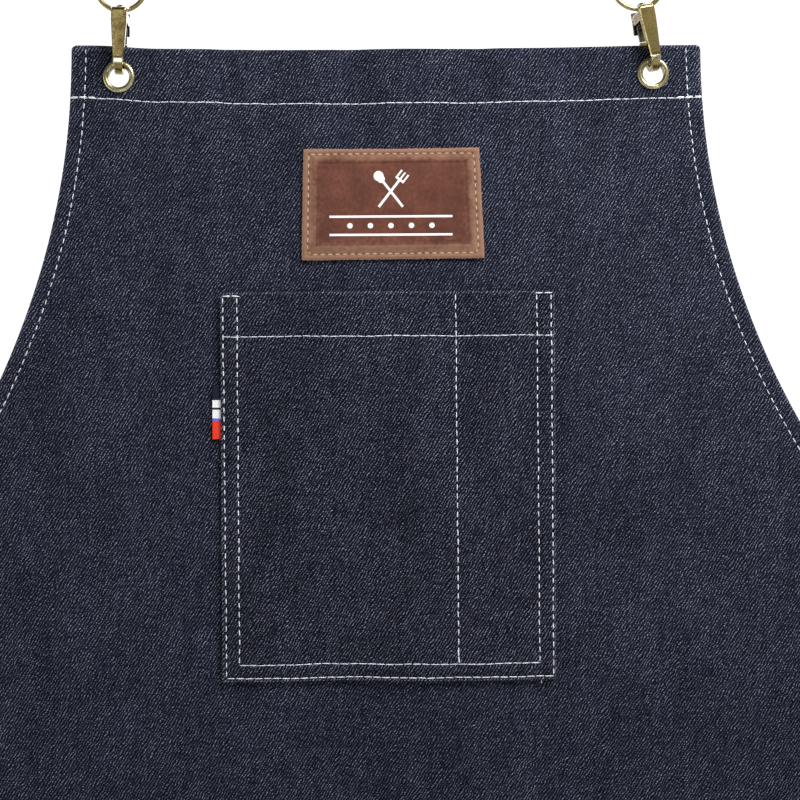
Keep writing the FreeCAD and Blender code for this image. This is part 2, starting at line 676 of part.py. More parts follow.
def make_gate_pin(side):
    pin = rod("pin_rod_" + side, "pin_radius", "hook_width - 0.2", "-hook_width / 2 + 0.1",
              "pivot_back", "pivot_height", ALONG_X)
    keep(carry("pin_" + side, pin, hook_seat(side)), "gate_pin_" + side)


def make_gate_spring(side):
    """The coil round the pin, beside the tongue, as the solid that its turns fill."""
    outer = rod("coil_outer_" + side, "pin_radius + coil_gap + coil_wire", "3 * coil_wire",
                "0.15", "pivot_back", "pivot_height", ALONG_X)
    inner = rod("coil_inner_" + side, "pin_radius + coil_gap", "6 * coil_wire", "-1",
                "pivot_back", "pivot_height", ALONG_X)
    coil = cut("coil_" + side, outer, inner)
    coil.Placement = hook_seat(side)
    keep(coil, "gate_spring_" + side)


def make_swivel_rivet(side):
    """The rivet that the ring turns on: shank, domed head and peened foot."""
    body = doc.addObject("PartDesign::Body", "rivet_body_" + side)
    shape = sketch_on(body, "rivet_profile_" + side, "XZ_Plane")
    foot = "head_floor - 0.8"
    shoulder = "head_top + boss_height + 0.2"
    outline(shape, [("0", foot), ("1.6", foot), ("1.7", "head_floor"),
                    ("post_radius", "head_floor"),
                    ("post_radius", shoulder), ("post_head", shoulder),
                    ("post_head", shoulder + " + 0.9"), ("post_head * 0.62", shoulder + " + 1.7"),
                    ("0", shoulder + " + 1.9")])
    turn = body.newObject("PartDesign::Revolution", "rivet_turn_" + side)
    turn.Profile = shape
    turn.ReferenceAxis = (shape, ["V_Axis"])
    turn.Angle = 360
    body.Placement = ring_seat(side)
    keep(body, "swivel_rivet_" + side)


def make_ring(side):
    """The round swivel ring, with a bored boss that sits on the hook's head."""
    wire = torus("ring_torus_" + side, "ring_radius", "ring_wire", "0", "0", "ring_height")
    boss = rod("ring_boss_" + side, "boss_radius", "boss_height", "0", "0", "head_top + 0.1",
               Rotation())
    bore = rod("ring_bore_" + side, "post_radius + running_gap", "10", "0", "0", "head_top - 2",
               Rotation())
    clear = rod("ring_clear_" + side, "boss_radius + 1.5", "10", "0", "0",
                "head_top + 0.1 + boss_height", Rotation())
    solid = fuse("ring_solid_" + side, [cut("ring_open_" + side, wire, clear), boss])
    ring = cut("ring_cut_" + side, solid, bore)
    ring.Placement = ring_seat(side)
    keep(ring, "swivel_ring_" + side)


# ------------------------------------------------------------------- neck strap
FOLD_GAP = 2.0       # half the room between the layers where they pass the ring
FOLD_DROP = 0.6      # centre of the fold below the ring's wire
LAYER_APART = 1.15   # each layer's middle from the centre plane, once they meet
MEET_HEIGHTS = (30.0, 14.0)   # where the turned-back end lies along the leg
PART_HEIGHT = 6.0    # where the two part to pass round the ring
TONGUE_TAPER = 16.0  # from the tongue's end up to the strap's full width
RIVET_HEIGHTS = (20.0, 36.0)
RIVET_DOME, RIVET_CLENCH = "1.1", "0.8"   # thickness of a rivet's two heads
PEG_WRAP = 47.0      # degrees of bend over the peg, each side of the top


def leg_frame(side):
    """Foot of a strap leg at its ring's wire, and its direction up and across."""
    lean = Rotation(Vector(0, 1, 0), -LEG_LEAN * SIDE[side])
    up = lean.multVec(Vector(0, 0, 1))
    across = lean.multVec(Vector(1, 0, 0))
    centre = ring_seat(side).multVec(Vector(0, 0, mm("ring_height")))
    return centre + up * mm("ring_radius"), up, across


def fold_route(side):
    """Middle of the strap from its turned-back end, round the ring, to the leg."""
    foot, up, _ = leg_frame(side)
    reach = FOLD_GAP + mm("strap_thickness") / 2
    end = mm("tongue_length")
    steps = [(rise, LAYER_APART) for rise in (end,) + MEET_HEIGHTS] + [(PART_HEIGHT, reach)]
    for turn in range(0, 181, 30):
        angle = math.radians(turn)
        steps.append((-FOLD_DROP - reach * math.sin(angle), reach * math.cos(angle)))
    steps.append((PART_HEIGHT, -reach))
    steps += [(rise, -LAYER_APART) for rise in MEET_HEIGHTS[::-1] + (end,)]
    return [foot + up * rise + Vector(0, y, 0) for rise, y in steps]


def leg_route(side, count=16):
    """Middle of a leg: a smooth curve from the tongue up to the bend over the peg."""
    foot, up, _ = leg_frame(side)
    low = foot + up * (mm("tongue_length") + TONGUE_TAPER) + Vector(0, -LAYER_APART, 0)
    radius = mm("peg_radius") + mm("strap_thickness") / 2
    spread = math.radians(PEG_WRAP)
    high = Vector(SIDE[side] * radius * math.sin(spread), 0, radius * (math.cos(spread) - 1))
    high.z += mm("strap_thickness") / 2
    away = Vector(SIDE[side] * math.cos(spread), 0, -math.sin(spread))
    hold = (high - low).Length / 3
    knots = (low, low + up * hold, high + away * hold, high)
    points = []
    for i in range(count + 1):
        s = i / count
        weights = ((1 - s) ** 3, 3 * s * (1 - s) ** 2, 3 * s * s * (1 - s), s ** 3)
        points.append(sum((k * w for k, w in zip(knots, weights)), Vector()))
    return points


def half_strap(side):
    """Sections of one half, end to top: middle, across (or None), width and twist."""
    wide = mm("strap_width")
    narrow = mm("strap_tongue")
    across = leg_frame(side)[2] * SIDE[side]
    sections = [(point, across, narrow, 0.0) for point in fold_route(side)]
    leg = leg_route(side)
    for i, point in enumerate(leg):
        share = i / (len(leg) - 1)
        twist = 90 * share * share * (3 - 2 * share)
        sections.append((point, None, wide, twist))
    radius = mm("peg_radius") + mm("strap_thickness") / 2
    for angle in (36, 24, 12):
        turn = math.radians(angle)
        top = Vector(SIDE[side] * radius * math.sin(turn), 0,
                     radius * (math.cos(turn) - 1) + mm("strap_thickness") / 2)
        sections.append((top, None, wide, 90.0))
    return sections


def strap_section(point, along, across, width, twist):
    """A rectangular wire across the strap."""
    sideways = Vector(0, 1, 0)
    if across is None:
        across = sideways.cross(along).normalize()
        turn = math.radians(twist)
        across = across * math.cos(turn) + sideways * math.sin(turn)
    normal = along.cross(across).normalize()
    across = normal.cross(along).normalize()
    half = across * (width / 2)
    skin = normal * (mm("strap_thickness") / 2)
    corners = [point + half + skin, point - half + skin, point - half - skin, point + half - skin]
    return Part.makePolygon(corners + corners[:1])


def make_strap():
    """One leather band, folded round both rings and twisted edge-on over the peg."""
    top = [(Vector(0, 0, mm("strap_thickness") / 2), None, mm("strap_width"), 90.0)]
    route = half_strap("right") + top + half_strap("left")[::-1]
    wires = []
    for i, (point, across, width, twist) in enumerate(route):
        before = route[max(i - 1, 0)][0]
        after = route[min(i + 1, len(route) - 1)][0]
        along = (after - before).normalize()
        wires.append(strap_section(point, along, across, width, twist))
    shape = Part.makeLoft(wires, True, True)
    for side in SIDE:
        foot, up, _ = leg_frame(side)
        for rise in RIVET_HEIGHTS:
            hole = Part.makeCylinder(mm("strap_rivet_radius"), 20,
                                     foot + up * rise - Vector(0, 10, 0), Vector(0, 1, 0))
            shape = shape.cut(hole)
    strap = doc.addObject("Part::Feature", "strap")
    strap.Shape = shape
    keep(strap, "neck_strap")


def make_strap_rivets():
    """Two rivets hold each turned-back end."""
    outside = "strap_thickness / 2 + %g" % LAYER_APART
    rivets = []
    for side in SIDE:
        foot, up, _ = leg_frame(side)
        for number, rise in enumerate(RIVET_HEIGHTS):
            tag = "%s_%d" % (side, number)
            shank = rod("shank_" + tag, "strap_rivet_radius", "2 * (" + outside + ")", "0",
                        "-(" + outside + ")", "0")
            heads = [rod("head_front_" + tag, "strap_rivet_head", RIVET_DOME, "0",
                         "-(" + outside + ") - " + RIVET_DOME, "0"),
                     rod("head_back_" + tag, "strap_rivet_head", RIVET_CLENCH, "0", outside, "0")]
            rivet = fuse("strap_rivet_" + tag, [shank] + heads)
            rivet.Placement = Placement(foot + up * rise, Rotation())
            rivets.append(rivet)
    group = doc.addObject("Part::Compound", "strap_rivet_group")
    group.Links = rivets
    keep(group, "strap_rivets")


# ------------------------------------------------------------------------ build
make_panel()
make_hems()
make_eyelets()
make_pocket()
make_pocket_thread()
make_tab()
make_patch()
make_patch_thread()
make_patch_mark()
for hand in SIDE:
    make_hook(hand)
    make_gate(hand)
    make_gate_pin(hand)
    make_gate_spring(hand)
    make_swivel_rivet(hand)
    make_ring(hand)
make_strap()
make_strap_rivets()
doc.recompute()

for thing in doc.Objects:
    if {"Invalid", "Error"} & set(thing.State):
        raise RuntimeError("%s failed: %s" % (thing.Label, thing.State))
for node, thing in parts.items():
    if thing.Shape.isNull() or not thing.Shape.isValid() or thing.Shape.Volume <= 0:
        raise RuntimeError("%s has no valid shape" % node)

os.makedirs("parts", exist_ok=True)
for node, thing in parts.items():
    thing.Shape.exportStep("parts/%s.step" % node)
    print("%-22s %2d solids %10.1f mm3" % (node, len(thing.Shape.Solids), thing.Shape.Volume))
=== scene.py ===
# %% [markdown]
# # A denim work apron, hung by two snap hooks
# A work apron is one sheet of heavy indigo twill with its edges turned under and
# topstitched. This one hangs by a brass snap hook through each top eyelet, each hook
# turns on a ring, and a leather strap joins the rings over a peg.
# The metal parts, the sizes and the way things move come from a CAD model, which is
# loaded first and never changed. Everything made here is placed by reading that model,
# so that the cloth, the thread and the leather land on it without any fitting by eye.

# %% Load the CAD frame
import json
import math
import random

import bpy
import numpy as np
from mathutils import Matrix, Vector


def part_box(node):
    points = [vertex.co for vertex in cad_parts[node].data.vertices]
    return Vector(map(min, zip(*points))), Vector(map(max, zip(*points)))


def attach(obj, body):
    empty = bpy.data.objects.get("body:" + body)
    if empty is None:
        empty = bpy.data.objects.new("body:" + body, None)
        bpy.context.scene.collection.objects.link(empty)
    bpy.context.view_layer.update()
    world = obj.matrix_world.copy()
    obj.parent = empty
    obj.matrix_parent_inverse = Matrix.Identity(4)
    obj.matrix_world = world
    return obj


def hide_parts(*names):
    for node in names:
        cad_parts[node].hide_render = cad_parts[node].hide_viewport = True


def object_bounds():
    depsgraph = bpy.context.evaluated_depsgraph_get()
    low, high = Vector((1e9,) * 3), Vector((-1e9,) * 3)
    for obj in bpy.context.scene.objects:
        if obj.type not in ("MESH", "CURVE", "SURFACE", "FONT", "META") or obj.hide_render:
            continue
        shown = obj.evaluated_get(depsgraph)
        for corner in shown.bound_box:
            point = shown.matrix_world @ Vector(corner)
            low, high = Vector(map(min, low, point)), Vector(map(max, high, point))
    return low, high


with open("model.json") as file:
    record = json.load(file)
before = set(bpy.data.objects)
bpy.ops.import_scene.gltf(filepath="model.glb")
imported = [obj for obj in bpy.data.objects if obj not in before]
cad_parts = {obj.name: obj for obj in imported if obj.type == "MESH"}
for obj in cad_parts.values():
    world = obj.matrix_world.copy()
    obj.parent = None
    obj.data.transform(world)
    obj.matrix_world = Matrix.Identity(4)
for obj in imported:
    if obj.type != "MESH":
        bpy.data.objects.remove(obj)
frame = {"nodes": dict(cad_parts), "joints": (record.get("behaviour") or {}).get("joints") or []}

MM = 0.001
cad_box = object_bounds()
print("CAD box in mm:", [[round(c / MM, 1) for c in corner] for corner in cad_box])

# %% [markdown]
# ## The camera
# A picture of cloth is taken square on, from far enough back that the sheet stays flat
# and even. A long lens at 0.8 m does that. The camera leans a third of a degree, as a
# camera held by hand would, and its height and side place frame the bib and pocket.
# The camera comes first because every later choice of detail depends on how large one
# millimetre looks in it.

# %% Camera
CAMERA_BACK = 800 * MM
VIEW_WIDTH = 352 * MM
SENSOR_MM = 36
bpy.ops.object.camera_add(
    location=(5.3 * MM, -CAMERA_BACK, -449.4 * MM),
    rotation=(math.radians(90), math.radians(0.35), 0),
)
camera = bpy.context.object
camera.data.sensor_width = SENSOR_MM
camera.data.lens = SENSOR_MM * CAMERA_BACK / VIEW_WIDTH
bpy.context.scene.camera = camera
bpy.context.scene.view_settings.view_transform = "Standard"
print("lens", round(camera.data.lens, 1), "mm")

# %% [markdown]
# ## The studio
# Dark cloth and old brass need opposite things. Cloth wants one broad lamp from a side,
# so that its threads and folds cast small shades. Brass wants bright cards to mirror,
# with a dimmer gap between them, or it turns into a flat yellow shape.
# So a key lamp stands above and to the right, close enough that its light falls off
# down the bib. Two tall cards stand at the sides. Each hook has a dim card high in front
# of it, for its flat face, and a narrow one low in front, for the line along its bend.
# The world is white where the camera sees it and dimmer in front for the reflections.

# %% Lamps, world and floor
def softbox(name, at, towards, width, height, power):
    """A rectangular lamp at a place, turned to face another."""
    bpy.ops.object.light_add(type="AREA", location=at)
    lamp = bpy.context.object
    lamp.name = name
    lamp.data.shape = "RECTANGLE"
    lamp.data.size, lamp.data.size_y = width, height
    lamp.data.energy = power
    aim = Vector(towards) - Vector(at)
    lamp.rotation_euler = aim.to_track_quat("-Z", "Y").to_euler()
    lamp.visible_camera = False


BIB_MIDDLE = (0, 0, -0.42)
LEFT_HOOK, RIGHT_HOOK = (-0.117, 0, -0.3), (0.117, 0, -0.3)
softbox("key_lamp", (0.40, -0.46, 0.20), (0.05, 0, -0.40), 0.34, 0.34, 11.3)
softbox("left_card", (-0.95, -0.40, -0.62), (-0.1, 0, -0.5), 0.30, 1.1, 2.8)
softbox("right_card", (1.15, -0.40, -0.45), BIB_MIDDLE, 0.30, 1.3, 1.0)
softbox("front_card", (-0.25, -1.5, 0.06), (-0.1, 0, -0.3), 0.5, 0.5, 1.0)
softbox("left_bend_card", (-0.15, -0.85, -0.65), LEFT_HOOK, 0.14, 0.36, 0.63)
softbox("right_bend_card", (0.39, -0.85, -0.62), RIGHT_HOOK, 0.14, 0.42, 0.74)
softbox("right_front_card", (0.60, -1.5, 0.09), RIGHT_HOOK, 0.45, 0.5, 0.22)
softbox("back_card", (0.3, 1.4, 0.5), (0, 0, -0.6), 1.2, 1.2, 12)


def add(tree, kind, **settings):
    """A new shader node with these settings."""
    made = tree.nodes.new(kind)
    for name, value in settings.items():
        setattr(made, name, value)
    return made


def feed(socket, value):
    """Give a socket a number, a colour or another socket's output."""
    if isinstance(value, bpy.types.NodeSocket):
        socket.id_data.links.new(value, socket)
    else:
        socket.default_value = value


def feed_all(node, **values):
    """Feed a node's inputs by their names, with _ where a name has a space."""
    for name, value in values.items():
        feed(node.inputs[name.replace("_", " ")], value)


def tree_of(*values):
    """The node tree that the first output among these values belongs to."""
    return next(v.id_data for v in values if isinstance(v, bpy.types.NodeSocket))


def new_after(values, kind, **settings):
    """A new node in the same tree as these values, which feed its first inputs."""
    made = add(tree_of(*values), kind, **settings)
    for socket, value in zip(made.inputs, values):
        feed(socket, value)
    return made


def calc(operation, *values):
    """A maths node's result. Every value is a number or another node's output."""
    return new_after(values, "ShaderNodeMath", operation=operation).outputs[0]


def plus(first, *others):
    """The sum of two or more values."""
    for value in others:
        first = calc("ADD", first, value)
    return first


def times(first, *others):
    """The product of two or more values."""
    for value in others:
        first = calc("MULTIPLY", first, value)
    return first


def minus(first, second):
    """The first value less the second."""
    return calc("SUBTRACT", first, second)


def over(first, second):
    """The first value divided by the second."""
    return calc("DIVIDE", first, second)


def ramp(value, low, high, to_low=0.0, to_high=1.0):
    """value from low to high, eased onto to_low to to_high."""
    given = (value, low, high, to_low, to_high)
    return new_after(given, "ShaderNodeMapRange", interpolation_type="SMOOTHSTEP").outputs[0]


def spot(x=0.0, y=0.0, z=0.0):
    """A vector from three numbers or outputs."""
    return new_after((x, y, z), "ShaderNodeCombineXYZ").outputs[0]


def split(vector):
    """The X, Y and Z of a vector."""
    return new_after([vector], "ShaderNodeSeparateXYZ").outputs


def blend_colours(share, first, second, how="MIX"):
    """A mix of two colours, each a colour or an output."""
    made = add(tree_of(share, first, second), "ShaderNodeMix", data_type="RGBA", blend_type=how)
    feed(made.inputs[0], share)
    feed(made.inputs[6], first)
    feed(made.inputs[7], second)
    return made.outputs[2]


world = bpy.data.worlds.new("studio")
bpy.context.scene.world = world
world.use_nodes = True
tree = world.node_tree
tree.nodes.clear()
direction = split(add(tree, "ShaderNodeTexCoord").outputs["Generated"])
behind = ramp(direction["Y"], -0.6, 0.5, 0.03, 0.95)
below = ramp(direction["Z"], -0.2, -0.8, 0.0, 0.08)
around = add(tree, "ShaderNodeBackground")
feed_all(around, Strength=plus(behind, below))
seen = add(tree, "ShaderNodeBackground")
feed_all(seen, Color=(1, 1, 1, 1), Strength=1.1)
by_camera = add(tree, "ShaderNodeLightPath").outputs["Is Camera Ray"]
choice = new_after((by_camera, around.outputs[0], seen.outputs[0]), "ShaderNodeMixShader")
feed(add(tree, "ShaderNodeOutputWorld").inputs[0], choice.outputs[0])

FLOOR_DROP = 110 * MM
FLOOR_RADIUS = 2.1
bpy.ops.mesh.primitive_circle_add(
    vertices=96, radius=FLOOR_RADIUS, fill_type="NGON",
    location=(0, 0, cad_box[0].z - FLOOR_DROP),
)
floor = bpy.context.object
floor.name = "floor"
floor_paint = bpy.data.materials.new("pale_floor")
floor_paint.use_nodes = True
tree = floor_paint.node_tree
from_middle = [add(tree, "ShaderNodeTexCoord").outputs["Object"]]
reach = new_after(from_middle, "ShaderNodeVectorMath", operation="LENGTH").outputs["Value"]
feed_all(tree.nodes["Principled BSDF"], Base_Color=(0.82, 0.82, 0.81, 1), Roughness=0.85,
         Alpha=ramp(reach, 0.45 * FLOOR_RADIUS, 0.97 * FLOOR_RADIUS, 1, 0))
floor.data.materials.append(floor_paint)

# %% [markdown]
# ## How the sheet is cut
# The apron's outline is a narrow bib, two armholes that are arcs of one circle, and a
# straight skirt. The half-width at any height is enough to cut it, so one function
# gives the outline and everything else asks it. The arc's circle follows from three
# sizes on the CAD panel: half the bib, half the skirt and the waist's depth.

# %% Outline of the apron
panel_lo, panel_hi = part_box("apron_panel")
BIB_TOP, HEM_FOOT, SKIRT_HALF = panel_hi.z, panel_lo.z, panel_hi.x
DENIM = panel_hi.y - panel_lo.y
FRONT = panel_lo.y
BIB_HALF = 138.3 * MM
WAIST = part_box("armhole_hem_left")[0].z
waist_depth = BIB_TOP - WAIST
ARM_MIDDLE = (SKIRT_HALF**2 + waist_depth**2 - BIB_HALF**2) / (2 * (SKIRT_HALF - BIB_HALF))
ARM_RADIUS = ARM_MIDDLE - BIB_HALF
EYELETS = []
for node in ("eyelet_left", "eyelet_right", "waist_eyelet_left", "waist_eyelet_right"):
    low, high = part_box(node)
    EYELETS.append(((low.x + high.x) / 2, (low.z + high.z) / 2))
CORNER = 2.2 * MM


def half_width(z):
    """Half the apron's width at a height, with its four corners rounded."""
    depth = np.clip(BIB_TOP - z, 0, waist_depth)
    to_end = np.clip(np.minimum(BIB_TOP - z, z - HEM_FOOT), 0, CORNER)
    rounding = CORNER - np.sqrt(CORNER**2 - (CORNER - to_end) ** 2)
    return ARM_MIDDLE - np.sqrt(ARM_RADIUS**2 - depth**2) - rounding


def in_from_side(x, z):
    """How far a point is inside the armhole's curve or the skirt's side."""
    arc = np.hypot(np.abs(x) - ARM_MIDDLE, z - BIB_TOP) - ARM_RADIUS
    return np.where(z > WAIST, arc, SKIRT_HALF - np.abs(x))


print("armhole radius in mm:", round(ARM_RADIUS / MM, 1))

# %% [markdown]
# ## How the cloth hangs
# Cloth on two hooks hangs almost flat where it is pulled, then falls into a few soft
# folds that grow towards the hem. A cloth simulation could find them, but it would have
# to be run again for each strip sewn to the panel, and the strips would drift apart.
# Here one function says how far the sheet stands forward or back at each place, and the
# panel, the hems, the pocket, the patch and every stitch all ask the same function.
# The function is still around each eyelet and under the patch, which hold the cloth.

# %% The drape
def ease(value):
    """0 to 1 with soft ends."""
    value = np.clip(value, 0, 1)
    return value * value * (3 - 2 * value)


patch_lo, patch_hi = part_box("leather_patch")
FOLD_WIDTH, FOLD_DEPTH = 205 * MM, 8.5 * MM
CREASE_WIDTH, CREASE_DEPTH = 92 * MM, 3.0 * MM
SET_BACK_SIDES, SET_BACK_MIDDLE = 5.5 * MM, 7.0 * MM
WING_LIFT = 3.0 * MM
EYELET_HOLD, EYELET_FREE = 7 * MM, 26 * MM
PATCH_FREE = 18 * MM
TOP_SAG, CORNER_LIFT = 1.1 * MM, 1.5 * MM
RIPPLES = random.Random(11)
ripples = []
for _ in range(14):
    length = RIPPLES.uniform(38, 120) * MM
    turn = RIPPLES.uniform(-0.5, 0.5)
    ripples.append((
        2 * math.pi / length * math.cos(turn),
        2 * math.pi / length * math.sin(turn),
        RIPPLES.uniform(0, 6.28),
        length * 0.0032,
    ))
hem_bands = [(2 * math.pi / (w * MM), RIPPLES.uniform(0, 6.28)) for w in (14, 19, 27, 41)]


def held(x, z):
    """0 where metal or the patch holds the cloth still, up to 1 away from them."""
    free = 1.0
    for ex, ez in EYELETS:
        free = free * ease((np.hypot(x - ex, z - ez) - EYELET_HOLD) / EYELET_FREE)
    past_x = np.maximum(patch_lo.x - x, x - patch_hi.x)
    past_z = np.maximum(patch_lo.z - z, z - patch_hi.z)
    return free * ease(np.maximum(past_x, past_z) / PATCH_FREE)


def drape(x, z):
    """How far the cloth stands behind (+) or in front (-) of a flat sheet."""
    x, z = np.asarray(x, float), np.asarray(z, float)
    below = BIB_TOP - z
    skirt = ease((below - 0.24) / 0.62)
    sway = 0.55 * np.sin(z / 0.21 + 0.7)
    folds = FOLD_DEPTH * skirt * np.sin(2 * math.pi * x / FOLD_WIDTH + 0.9 + sway)
    folds += CREASE_DEPTH * skirt * np.sin(2 * math.pi * x / CREASE_WIDTH - 0.6 - 1.4 * sway)
    set_back = SET_BACK_SIDES + SET_BACK_MIDDLE * np.exp(-((x / 0.14) ** 2))
    set_back = set_back * ease((below - 0.26) / 0.13) * (1 - 0.8 * ease((below - 0.42) / 0.3))
    wings = WING_LIFT * ease((np.abs(x) - 0.2) / 0.14) * ease((below - 0.15) / 0.15)
    small = sum(a * np.sin(kx * x + kz * z + p) for kx, kz, p, a in ripples)
    band = sum(np.sin(k * x + p) / k for k, p in hem_bands) * 0.075
    band = band * np.exp(-((below - 10 * MM) / (13 * MM)) ** 2)
    return held(x, z) * (folds + set_back - wings + small + band)


def sag(x, z):
    """How far the bib's top edge sinks between its eyelets; its left corner stands up."""
    x, z = np.asarray(x, float), np.asarray(z, float)
    reach = x / EYELETS[1][0]
    between = np.where(np.abs(reach) < 1, 1 - reach**2, 0)
    corner = ease((-reach - 0.84) / 0.28)
    fades = np.exp(-(((BIB_TOP - z) / (60 * MM)) ** 2))
    return (TOP_SAG * between - CORNER_LIFT * corner) * fades


probe = np.linspace(-SKIRT_HALF, SKIRT_HALF, 200)
fold_depth = float(np.ptp(drape(probe, np.full(200, HEM_FOOT))))
print("fold depth at the hem in mm:", round(fold_depth / MM, 1))

# %% [markdown]
# ## Seam lines
# A row of topstitching pulls the layers together, so the cloth dips along it and puffs
# up beside it. Those dips are what makes a sewn edge look sewn, and they belong in the
# mesh. Each row's place is a named distance from an edge, and the dips and the thread
# both use it.

# %% Where the rows of stitches run
TOP_ROW = 23.0 * MM
ARM_ROW = 6.3 * MM
SKIRT_ROW = 18.0 * MM
FOOT_ROW = 23.0 * MM


def hand(along):
    """How far a hand-guided row strays from its line."""
    return 0.10 * MM * np.sin(along / (7.3 * MM)) + 0.08 * MM * np.sin(along / (3.1 * MM) + 1)


def top_row_height(x):
    """Height of the bib's top row, which was sewn a little low in its middle."""
    x = np.asarray(x, float)
    return BIB_TOP - TOP_ROW - 1.0 * MM * (1 - (x / BIB_HALF) ** 2) + hand(x)


def dip(distance, depth=0.28 * MM, width=1.1 * MM):
    """The hollow along a row of stitches, by distance from the row."""
    return depth * np.exp(-((distance / width) ** 2))


def panel_front(x, z):
    """Place of the panel's front surface, seams and all."""
    x, z = np.asarray(x, float), np.asarray(z, float)
    side = in_from_side(x, z)
    y = FRONT + drape(x, z)
    y = y + dip(z - top_row_height(x))
    y = y + np.where(z > WAIST, dip(side - ARM_ROW), dip(side - SKIRT_ROW))
    y = y + dip(z - HEM_FOOT - FOOT_ROW)
    nearest = np.minimum(np.minimum(side, BIB_TOP - z), z - HEM_FOOT)
    y = y + 0.35 * MM * (1 - ease(nearest / (2.2 * MM)))
    return y


rows = (TOP_ROW, ARM_ROW, SKIRT_ROW, FOOT_ROW)
print("rows from the edges in mm:", [round(row / MM, 1) for row in rows])

# %% [markdown]
# ## Twill, as a shader group
# Denim is a twill: each pale weft thread passes over one blue warp thread and under
# three, one step further along on every row. The pale crossings line up on a slant,
# and those slanted broken lines are what the eye reads as denim.
# A picture could be stretched over the cloth, but this group works the crossings out:
# it counts the warp and weft threads under a point, and the crossing is pale where
# their numbers differ by a multiple of four. It is right at any distance, and it can be
# dirtied, which is what keeps it from looking printed: threads wander and slip
# sideways, some are thicker for a while and so show more, and no two crossings match.
# The denim's face, its paler back and the pocket's own cloth all use the group.

# %% Node group helpers and the twill
def start_group(name, takes, gives):
    """A node group with these named inputs and outputs."""
    group = bpy.data.node_groups.new(name, "ShaderNodeTree")
    for label, kind, value in takes:
        made = group.interface.new_socket(label, in_out="INPUT", socket_type="NodeSocket" + kind)
        if value is not None:
            made.default_value = value
    for label, kind in gives:
        group.interface.new_socket(label, in_out="OUTPUT", socket_type="NodeSocket" + kind)
    return group, add(group, "NodeGroupInput").outputs, add(group, "NodeGroupOutput").inputs


def use_group(tree, group, **values):
    """The group placed in a material, with its own values."""
    made = add(tree, "ShaderNodeGroup", node_tree=group)
    feed_all(made, **values)
    return made.outputs


def noise(where, scale, detail=2.0, rough=0.5):
    """A noise texture's value."""
    made = add(where.id_data, "ShaderNodeTexNoise")
    feed_all(made, Vector=where, Scale=scale, Detail=detail, Roughness=rough)
    return made.outputs["Fac"]


twill, given, gives = start_group(
    "twill",
    [("Vector", "Vector", None), ("Warp Pitch", "Float", 0.36 * MM),
     ("Weft Pitch", "Float", 0.55 * MM)],
    [("Weft", "Float"), ("Yarn", "Float"), ("Height", "Float")],
)


def stray(scale, threads, detail=2.0):
    """Noise about zero, over a range of that many threads."""
    return times(minus(noise(given["Vector"], scale, detail), 0.5), threads)


def edge_of(at):
    """0 on a thread's middle line to 1 at its sides, from a place counted in threads."""
    return calc("POWER", calc("ABSOLUTE", times(minus(calc("FRACT", at), 0.5), 2)), 2)


def thread_noise(number, step, along, rate, layer=0.0, detail=0.0):
    """Noise that each thread has for itself and that changes slowly along it."""
    return noise(spot(times(number, step), times(along, rate), layer), 1.0, detail)


wander = plus(stray(160, 1.3), stray(800, 0.8, 0.0))
slip = stray(340, 4.6, 0.0)
place = split(given["Vector"])
warp_at = plus(over(place["X"], given["Warp Pitch"]), plus(wander, slip))
warp_no = calc("FLOOR", warp_at)
own_slip = add(twill, "ShaderNodeTexWhiteNoise", noise_dimensions="1D")
feed_all(own_slip, W=warp_no)
own_slip = times(own_slip.outputs["Value"], 0.62)
weft_at = plus(over(place["Z"], given["Weft Pitch"]), plus(wander, own_slip))
weft_no = calc("FLOOR", weft_at)
crossing = calc("LESS_THAN", calc("FLOORED_MODULO", minus(warp_no, weft_no), 4), 0.5)
dome = calc("MAXIMUM", minus(minus(1, times(edge_of(warp_at), 0.45)), times(edge_of(weft_at), 0.75)), 0)
weft_shows = times(crossing, dome)
print("twill nodes so far:", len(twill.nodes))

thick_warp = ramp(thread_noise(warp_no, 7.31, weft_at, 0.05), 0.32, 0.68)
thick_weft = ramp(thread_noise(weft_no, 5.37, warp_at, 0.04, 3.0), 0.32, 0.68)
own = add(twill, "ShaderNodeTexWhiteNoise", noise_dimensions="2D")
feed_all(own, Vector=spot(warp_no, weft_no))
luck = calc("POWER", own.outputs["Value"], 4.0)
bright = plus(times(plus(thick_warp, thick_weft), 0.26), luck)
feed(gives["Weft"], times(weft_shows, plus(bright, 0.06)))
warp_tone = thread_noise(warp_no, 0.73, weft_at, 0.035, detail=2.0)
weft_tone = thread_noise(weft_no, 0.61, warp_at, 0.03, 7.0, detail=1.0)
feed(gives["Yarn"], plus(times(warp_tone, 0.7), times(weft_tone, 0.3)))
round_warp = times(minus(1, crossing), minus(1, edge_of(warp_at)))
feed(gives["Height"], plus(round_warp, times(weft_shows, 0.7)))
print("twill group nodes:", len(twill.nodes))

# %% [markdown]
# ## Cloudiness, as a shader group
# Nothing dyed, tanned or cast is one even tone. This small group gives a slow cloudy
# value at a chosen size, with a finer cloud on top. Denim uses it for the uneven dye,
# leather for the pulled-up wax and brass for its patina.

# %% The cloud group
cloud, given, gives = start_group(
    "cloud",
    [("Vector", "Vector", None), ("Size", "Float", 20 * MM), ("Fine Share", "Float", 0.3)],
    [("Cloud", "Float")],
)


def enlarge(given):
    """A group's Vector divided by its Size, so that its texture has that size."""
    made = add(given["Vector"].id_data, "ShaderNodeVectorMath", operation="SCALE")
    feed(made.inputs[0], given["Vector"])
    feed_all(made, Scale=over(1, given["Size"]))
    return made.outputs[0]


where = enlarge(given)
broad, fine = noise(where, 1.0, 3.0, 0.55), noise(where, 5.3, 2.0)
rest = minus(1, given["Fine Share"])
feed(gives["Cloud"], plus(times(broad, rest), times(fine, given["Fine Share"])))
print("cloud group nodes:", len(cloud.nodes))

